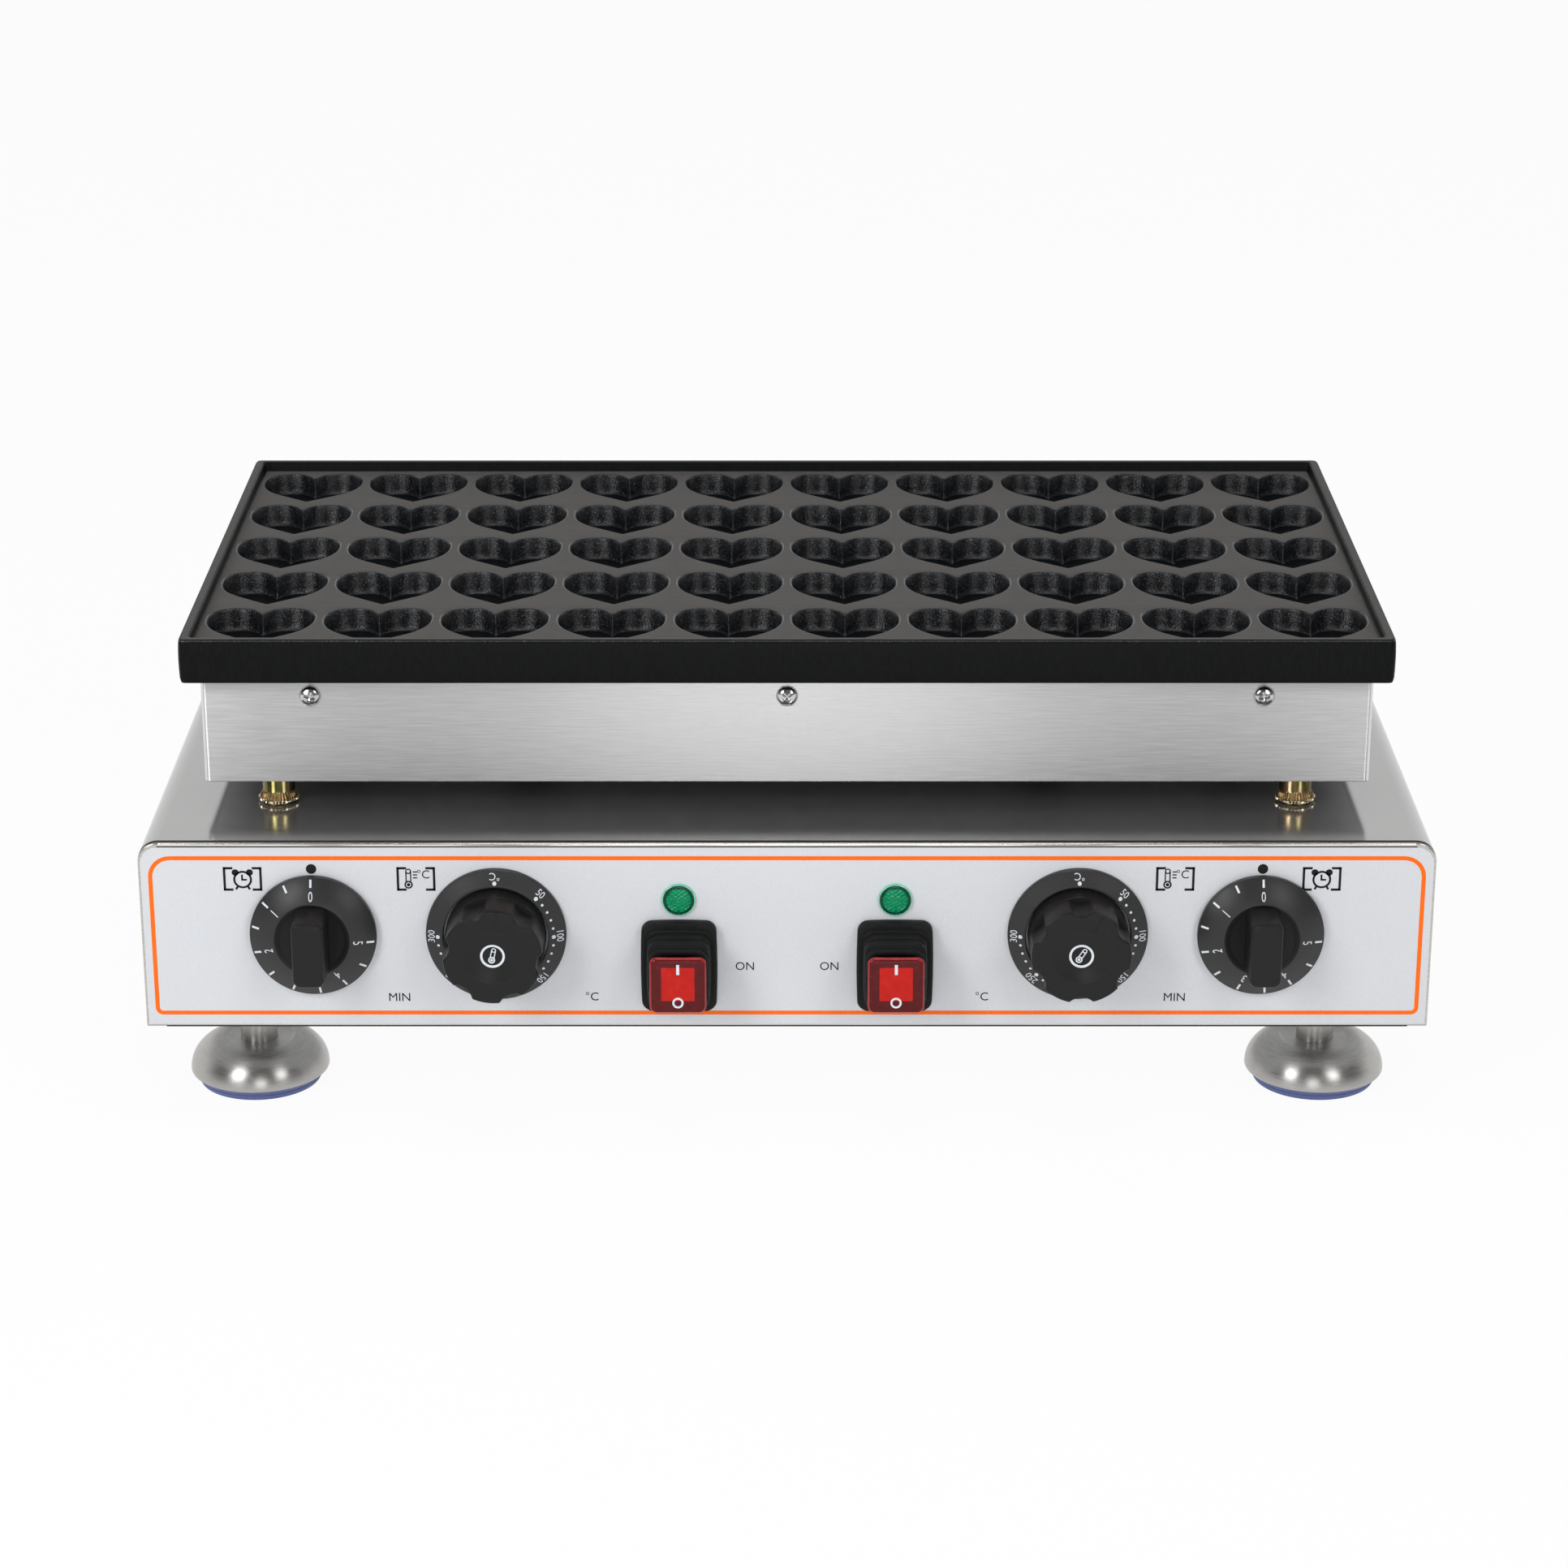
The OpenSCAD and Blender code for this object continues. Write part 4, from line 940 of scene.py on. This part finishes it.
def thermostat_ring(side):
    at = node_middle(f"thermostat_shaft_{side}")
    profile = ((RING_IN, 0), (RING_R, 0), (RING_R, RING_EDGE - 0.5), (RING_R - 0.4, RING_EDGE + 0.1),
               (RING_FACE_IN + 0.3, RING_T - 0.12), (RING_FACE_IN, RING_T), (RING_IN + 0.3, RING_T),
               (RING_IN, RING_T - 0.3))
    ring = Shape().lathe(profile, closed=True, segments=120)
    marks = Shape()
    marks.take(lettering("°C", UNIT_H), moved(0, UNIT_AT) @ spun(180)).disc((0, UNIT_DOT_AT), DOT_R)
    for number in range(1, 7):
        value = Shape().take(lettering(str(50 * number), VALUE_H, 0.9), moved(0, VALUE_AT))
        marks.take(value.disc((0, DOT_AT), DOT_R), spun(DEGREE_STEP * number))
        if number < 6:
            for k in range(1, 5):
                marks.take(Shape().disc((0, FINE_AT), FINE_R), spun(DEGREE_STEP * (number + k / 5)))
    ring.take(marks.drape(lambda r: ring_face(r) + 0.02), slot=1)
    placed = Shape().take(ring, facing(at.x, at.z, FILM_Y))
    piece(f"thermostat_scale_{side}", placed, "plastic_dial print_white", "base",
          [f"thermostat_ring_{side}"])


def scalloped(a):
    """Radius of the thermostat knob's outline at an angle from its pointer."""
    step = 2 * pi / SCALLOPS
    off = ((a - SCALLOP_TURN) % step) - step / 2
    far = KNOB_R - SCALLOP_IN + SCALLOP_R
    room = SCALLOP_R ** 2 - (far * sin(off)) ** 2
    return min(KNOB_R, far * cos(off) - sqrt(room)) if room > 0 else KNOB_R


def dish(r):
    """Depth of the hollow in the thermostat knob's face."""
    return max(DISH_DEPTH - r * r / 2 / DISH_SPHERE_R, 0)


def thermostat_knob(side):
    at = node_middle(f"thermostat_shaft_{side}")
    angles = [pi / 2 - a for a in turn(240)]
    reach = [scalloped(pi / 2 - a) for a in angles]
    full = lambda r, z: [(r * cos(a), r * sin(a), z) for a in angles]
    cut = lambda inset, z: [((r - inset) * cos(a), (r - inset) * sin(a), z) for r, a in zip(reach, angles)]
    rings = [full(SOCKET_R, DIAL_GAP), full(KNOB_R - 0.3, DIAL_GAP), full(KNOB_R, DIAL_GAP + 0.3),
             full(KNOB_R, SCALLOP_START - 0.2), full(KNOB_R - 0.15, SCALLOP_START),
             cut(0.15, SCALLOP_START + 0.05), cut(0.2, KNOB_END - 1.4), cut(0.45, KNOB_END - 0.5),
             cut(0.95, KNOB_END - 0.1), cut(1.6, KNOB_END)]
    for r in (16, 13.6, 12.6, 12, 11, 9, 7, 5, 2.5, 0.6):
        rings.append(full(r, KNOB_END - dish(r)))
    knob = Shape().loft(rings, caps=(False, True))
    bore = [full(SOCKET_R, DIAL_GAP), full(SOCKET_R, SOCKET_END), full(SHAFT_BORE_R, SOCKET_END + 0.1),
            full(SHAFT_BORE_R, BORE_END)]
    knob.loft(bore, caps=(False, True))
    knob.bar(*POINTER, z=KNOB_END - 0.02, t=0.16)
    knob.disc(*POINTER_DOT, z=KNOB_END - 0.02, t=0.3)
    icon = Shape().hoop((0, 0), *ICON_RADII)
    icon.take(thermometer(7.2, 1.55, lines=False), spun(7))
    knob.take(icon.drape(lambda r: KNOB_END - dish(r) + 0.04), slot=1)
    place = facing(at.x, at.z, FILM_Y) @ spun(SET_DEGREES[side])
    piece(f"thermostat_grip_{side}", Shape().take(knob, place), "plastic_knob print_white",
          f"thermostat_{side}", [f"thermostat_knob_{side}"])


# Lamps

LENS_R = 7.6
RIM_W = 0.6
DOME_R = 5.7
DOME_FOOT = 1.3
DOME_RISE = 2.4
DOME_RINGS = 26
FACET_X = 1.5
FACET_Y = 0.9
FACET_DEPTH = 0.55


def pair(shape, z):
    """Copies of a shape on the film in the left and right switch column."""
    return Shape().take(shape, facing(-SWITCH_X, z, FILM_Y)).take(shape, facing(SWITCH_X, z, FILM_Y))


def lamps():
    inner = LENS_R - RIM_W
    rim = ((5, -8), (5, -0.02), (LENS_R, -0.02), (LENS_R, 0.8), (LENS_R - 0.1, 1.15), (LENS_R - 0.35, 1.3),
           (inner, 1.2))
    # The rim takes the pale green, a painted highlight
    lens = Shape().lathe(rim, slot=1, segments=96, caps=(True, False))
    # The groove takes the dark green, painted shade
    groove = (rim[-1], (inner - 0.1, 0.7), (inner - 0.5, 0.55), (DOME_R + 0.05, 0.7), (DOME_R, DOME_FOOT))
    lens.lathe(groove, slot=2, segments=96, caps=(False, False))
    # The faceted dome takes the glowing green, painted light
    rings = []
    for k in range(DOME_RINGS):
        r = DOME_R * (1 - k / DOME_RINGS)
        rise = DOME_RISE * (sqrt(1 - (r / DOME_R) ** 2 * 0.75) - 0.5)
        ring = []
        for x, y in circle(r, 96):
            facet = abs((x / FACET_X + y / FACET_Y) % 2 - 1) + abs((x / FACET_X - y / FACET_Y) % 2 - 1)
            ring.append((x, y, DOME_FOOT + rise - FACET_DEPTH * facet if k else DOME_FOOT))
        rings.append(ring)
    lens.loft(rings, caps=(False, True))
    piece("lamp_covers", pair(lens, LAMP_Z), "lens_green lens_rim lens_groove", "base",
          ["lamp_lenses"], sharp=25)


# Switches

BOOT_R = 4.6
BOOT_INNER_R = 1.6
CAP_W = 25.2
CAP_H = 25.9
CAP_R = 3.2
CAP_DROP = 0.85
PIVOT_OUT = 6
CAP_FACE = 27
CAP_T = 5.6
TILT = 4
WINDOW_W = 14.8
WINDOW_H = 15.6
# Ends and width of the line, place and radii of the ring, and their thickness
LINE = (4.5, 9.2, 1.35)
RING = (-8.7, 2.5, 1.6)
CAP_PRINT_T = 0.09
# Width, height and corner radius of the stem
STEM = (19, 12, 1)
# Length and radius of the hub and the pivot pin
PINS = ((19.6, 3.5), (24.7, 1.5))
# Width, height and level of the boot's folds from its foot up, and of its hollow from there down
BOOT_OUTSIDE = (
    (33.8, 43, 0), (34.4, 43.6, 0.5), (34.4, 43.6, 3.6), (33.9, 43.1, 4.5), (32.8, 41.8, 5), (31.2, 39, 5.1),
    (30, 36.8, 5), (29, 35.4, 5.6), (28.5, 34.6, 8.2), (28.2, 34, 9.2), (27.6, 33.2, 9.8), (27.6, 33, 10.6),
    (28.2, 33.4, 11.6), (28.3, 33.2, 13.6), (28, 32.6, 15), (27.4, 31.6, 15.7), (26.4, 30.2, 15.8),
    (26.2, 29.4, 16.2), (26.8, 29.2, 17.2), (26.9, 29, 18.4), (26.4, 28.4, 19.1), (25.2, 27.2, 19.3),
    (24, 26, 19.2), (22.2, 24.2, 18.9))
BOOT_INSIDE = ((22, 24, 18.2), (22, 24, 9.3), (26, 24.1, 9.3), (26, 24.1, 2), (26, 36.4, 2), (26, 36.4, 0))
BOOT_BOW = 1.1
BOOT_FLAT = 8.6


def switch_boots():
    rings = [raised(rounded_rect(w, h, min(BOOT_R, w / 2 - BOOT_FLAT), BOOT_BOW), z)
             for w, h, z in BOOT_OUTSIDE]
    rings += [raised(rounded_rect(w, h, BOOT_INNER_R, BOOT_BOW), z) for w, h, z in BOOT_INSIDE]
    boot = Shape().loft(rings, closed=True)
    piece("switch_covers", pair(boot, SWITCH_Z), "rubber_black", "base", ["switch_boots"])


def rocker(side):
    top = CAP_FACE - PIVOT_OUT
    foot = top - CAP_T
    # The edge band takes the lighter red, a painted highlight
    edge = ((1.7, foot), (0, top - 2.2), (0, top - 1.5), (0.25, top - 0.75), (0.75, top - 0.3))
    cap = Shape().slab(CAP_W, CAP_H, CAP_R, edge, slot=2, caps=(True, False), lift=-CAP_DROP)
    face = (edge[-1], (1.4, top - 0.05), (2, top))
    cap.slab(CAP_W, CAP_H, CAP_R, face, caps=(False, True), lift=-CAP_DROP)
    # The window glows faintly, painted light
    cap.slab(WINDOW_W, WINDOW_H, 0.4, ((0, top - 0.1), (0, top + 0.02), (0.5, top + 0.02)), slot=1)
    cap.bar((0, LINE[0]), (0, LINE[1]), LINE[2], z=top, t=CAP_PRINT_T, slot=3)
    cap.hoop((0, RING[0]), RING[1], RING[2], z=top, t=CAP_PRINT_T, slot=3)
    cap.slab(*STEM, ((0, 0.5), (0, foot + 0.2)))
    for length, r in PINS:
        half = length / 2
        profile = ((r - 0.2, -half), (r, 0.2 - half), (r, half - 0.2), (r - 0.2, half))
        cap.take(Shape().lathe(profile, segments=32), Matrix.Rotation(pi / 2, 4, "Y"))
    pressed = Matrix.Rotation(-radians(TILT), 4, "X")
    place = facing(SIDES[side] * SWITCH_X, SWITCH_Z, FILM_Y - PIVOT_OUT) @ pressed
    piece(f"rocker_cap_{side}", Shape().take(cap, place), "cap_red cap_window cap_edge print_white",
          f"rocker_{side}", [f"rocker_{side}"])


# Feet

NECK_R = 17
STEM_R = 8.5
PAD_INSET = 1.5
THREAD_R = 5
THREAD_STEP = 0.75
THREAD_DEPTH = 0.35
BELL_LIP = 0.8
CORE_R = 0.4


def foot(end, side):
    name = f"foot_{end}_{side}"
    low, high = node_box(f"{name}_bell")
    middle = (low + high) / 2
    place = moved(middle.x, middle.y)
    pad_top, bell_top = low.z, high.z
    r = (high.x - low.x) / 2
    stem_low, stem_high = node_box(f"{name}_stem")
    seat = stem_low.z - 0.3
    reach, rise = r - NECK_R, bell_top - pad_top - BELL_LIP
    curve = [(NECK_R + reach * sin(t), pad_top + BELL_LIP + rise * cos(t)) for t in turn(80)[1:21]]
    bell = [(STEM_R + 0.1, bell_top - 0.6), (NECK_R - 2.2, bell_top - 0.6), (NECK_R - 1.4, bell_top - 0.5),
            (NECK_R - 0.8, bell_top - 0.1), (NECK_R - 0.3, bell_top)] + curve
    bell += [(r - 0.2, pad_top + 0.3), (r - 1, pad_top), (0.5, pad_top), (0.5, seat), (STEM_R + 0.05, seat)]
    pad_r = r - PAD_INSET
    pad = ((CORE_R, 0), (pad_r - 3.4, 0), (pad_r - 2.7, 0.3), (pad_r - 1.5, 2.6), (pad_r - 1.75, 2.85),
           (pad_r - 1.75, 3.05), (pad_r - 1.2, 3.3), (pad_r, 5), (pad_r, pad_top), (CORE_R, pad_top))
    shoulder = node_box("bottom_cover")[0].z - 0.3
    turns = int((stem_high.z - shoulder - 1) / THREAD_STEP)
    stem = [(CORE_R, stem_low.z), (STEM_R - 0.4, stem_low.z), (STEM_R, stem_low.z + 0.4),
            (STEM_R, shoulder - 0.5), (STEM_R - 0.5, shoulder), (THREAD_R, shoulder)]
    stem += [(THREAD_R - THREAD_DEPTH * (k % 2), shoulder + 0.6 + THREAD_STEP * k) for k in range(turns)]
    stem += [(4.2, stem_high.z), (CORE_R, stem_high.z)]
    for part, node, profile, segments, look, slot in (
            ("cup", "bell", bell, 120, "steel_foot", "stainless"),
            ("sole", "pad", pad, 96, "rubber_blue", "blue_rubber"),
            ("post", "stem", stem, 64, "steel_foot", "stainless")):
        turned = Shape().lathe(profile, closed=True, segments=segments)
        piece(f"{name}_{part}", Shape().take(turned, place), look, name, [f"{name}_{node}"])


# Cable gland

GLAND_FLAT = 12
GLAND_CORNER = 13.5
GLAND_RIBS = 24
RIB_DEPTH = 0.175
GLAND_BORE = 4.5


def cable_gland():
    low, high = node_box("cable_gland")
    middle = (low + high) / 2
    wall = node_box("rear_panel")[1].y
    end = high.y - wall
    flats = lambda a: min(GLAND_FLAT / cos((a % (pi / 3)) - pi / 6), GLAND_CORNER)
    ring_of = lambda reach, z: [(reach(a) * cos(a), reach(a) * sin(a), z) for a in turn(144)]
    hexagon = lambda inset, z: ring_of(lambda a: flats(a) - inset, z)
    plain = lambda r, z: ring_of(lambda a: r, z)
    ribbed = lambda r, z: ring_of(lambda a: r - RIB_DEPTH * (1 + cos(GLAND_RIBS * a)), z)
    rings = [
        plain(GLAND_BORE, -10), plain(9.4, -10), plain(9.9, -9.4), plain(9.9, -0.02), hexagon(0.4, 0),
        hexagon(0, 0.5), hexagon(0, 7.4), hexagon(0.6, 8), plain(10.6, 8.1), plain(10.6, 9.2),
        ribbed(11, 9.4), ribbed(11, end - 9.5), plain(10.6, end - 8.8), plain(10.2, end - 6.5),
        plain(9, end - 2.8), plain(7.4, end - 0.6), plain(6.6, end), plain(5.4, end),
        plain(GLAND_BORE, end - 0.9)]
    place = moved(middle.x, wall, middle.z) @ Matrix.Rotation(-pi / 2, 4, "X")
    shape = Shape().take(Shape().loft(rings, closed=True), place)
    piece("gland_body", shape, "nylon_black", "base", ["cable_gland"], sharp=40)


# Camera, light and floor

CAMERA_AT = (-0.64, -1863.4, 793.3)
CAMERA_PITCH = 20.56
LENS_MM = 93.17
SHIFT_X = -0.001


def camera():
    data = bpy.data.cameras.new("camera")
    data.sensor_width = 36
    data.lens = LENS_MM
    data.shift_x = SHIFT_X
    data.clip_end = 20
    obj = new_object("camera", data)
    obj.location = Vector(CAMERA_AT) * MM
    obj.rotation_euler = (radians(90 - CAMERA_PITCH), 0, 0)
    bpy.context.scene.camera = obj


def area_light(name, at, aim, size, power):
    data = bpy.data.lights.new(name, "AREA")
    data.shape = "RECTANGLE"
    data.size, data.size_y = size
    data.energy = power
    obj = new_object(name, data)
    obj.location = at
    obj.rotation_euler = (Vector(aim) - Vector(at)).to_track_quat("-Z", "Y").to_euler()


AMBIENT = 0.49
FLOOR_WHITE = 0.9
FLOOR_GLOW = 0.94
# How bright metal sees the backdrop from its foot up to the ceiling, against the sine of the elevation,
# and from the dim room in front of the object to the backdrop behind it, against the share of depth
BACKDROP_RISE = ((0.3, 1), (0.8, 0.4))
BACKDROP_DEPTH = ((-0.35, 0.15), (0.3, 1))
# Name, place, aim, size and power of each lamp, in metres and watts
LAMPS = (
    ("key_left", (-1.08, -1.38, 1), (0, -0.1, 0.1), (0.55, 0.9), 12.5),
    ("key_right", (0.98, -1.42, 1), (0, -0.1, 0.1), (0.5, 0.9), 6.5),
    ("front", (0, -2.2, 0.3), (0, 0, 0.15), (0.6, 0.5), 4.5),
    ("top", (0, -0.3, 2.2), (0, 0, 0.1), (1, 0.6), 8))
FLOOR_HALF = 6


def combined(operation, first, second):
    """Output of a maths node on two sockets."""
    tree = first.id_data
    node = new_node(tree, "Math", operation=operation)
    tree.links.new(first, node.inputs[0])
    tree.links.new(second, node.inputs[1])
    return node.outputs[0]


def seen_directly(tree):
    """Socket that is 1 for the rays that should see the white backdrop, and one for the camera's alone."""
    rays = new_node(tree, "LightPath").outputs
    seen = combined("MAXIMUM", rays["Is Camera Ray"], rays["Is Glossy Ray"])
    return combined("MAXIMUM", seen, rays["Is Transmission Ray"]), rays["Is Camera Ray"]


def studio():
    world = bpy.data.worlds.new("studio")
    bpy.context.scene.world = world
    world.use_nodes = True
    tree = world.node_tree
    ambient = tree.nodes["Background"]
    fill(ambient, {"Color": (1, 1, 1, 1), "Strength": AMBIENT})
    direct, from_camera = seen_directly(tree)
    coords = new_node(tree, "TexCoord")
    towards = new_node(tree, "SeparateXYZ")
    join(coords, "Generated", towards, "Vector")
    fades = []
    for axis, (start, end) in (("Z", BACKDROP_RISE), ("Y", BACKDROP_DEPTH)):
        ends = {"From Min": start[0], "From Max": end[0], "To Min": start[1], "To Max": end[1]}
        fade = new_node(tree, "MapRange", ends, interpolation_type="SMOOTHSTEP")
        join(towards, axis, fade, "Value")
        fades.append(fade.outputs["Result"])
    strength = combined("MAXIMUM", from_camera, combined("MULTIPLY", *fades))
    white = new_node(tree, "Background", {"Color": (1, 1, 1, 1)})
    tree.links.new(strength, white.inputs["Strength"])
    mix = new_node(tree, "MixShader")
    tree.links.new(direct, mix.inputs["Fac"])
    join(ambient, "Background", mix, 1)
    join(white, "Background", mix, 2)
    join(mix, "Shader", tree.nodes["World Output"], "Surface")
    for lamp in LAMPS:
        area_light(*lamp)
    mesh = bpy.data.meshes.new("floor")
    far = FLOOR_HALF
    mesh.from_pydata([(-far, -far, 0), (far, -far, 0), (far, far, 0), (-far, far, 0)], [], [(0, 1, 2, 3)])
    mesh.materials.append(floor_material())
    floor = new_object("floor", mesh)


def floor_material():
    material, tree, shader = new_material("floor_white")
    white = (FLOOR_WHITE, FLOOR_WHITE, FLOOR_WHITE, 1)
    fill(shader, {"Base Color": white, "Roughness": 0.9, "Specular IOR Level": 0.1})
    glow = new_node(tree, "Emission")
    share = new_node(tree, "Math", {1: FLOOR_GLOW}, operation="MULTIPLY")
    tree.links.new(seen_directly(tree)[0], share.inputs[0])
    mix = new_node(tree, "MixShader")
    join(share, 0, mix, "Fac")
    join(shader, "BSDF", mix, 1)
    join(glow, "Emission", mix, 2)
    join(mix, "Shader", tree.nodes["Material Output"], "Surface")
    return material


bpy.context.scene.view_settings.view_transform = "Standard"
camera()
studio()
baking_plate()
heater_box()
box_screws()
pillars()
front_panel()
panel_edges()
panel_prints()
for side in SIDES:
    timer(side)
    thermostat_ring(side)
    thermostat_knob(side)
    rocker(side)
    for end in ENDS:
        foot(end, side)
lamps()
switch_boots()
cable_gland()
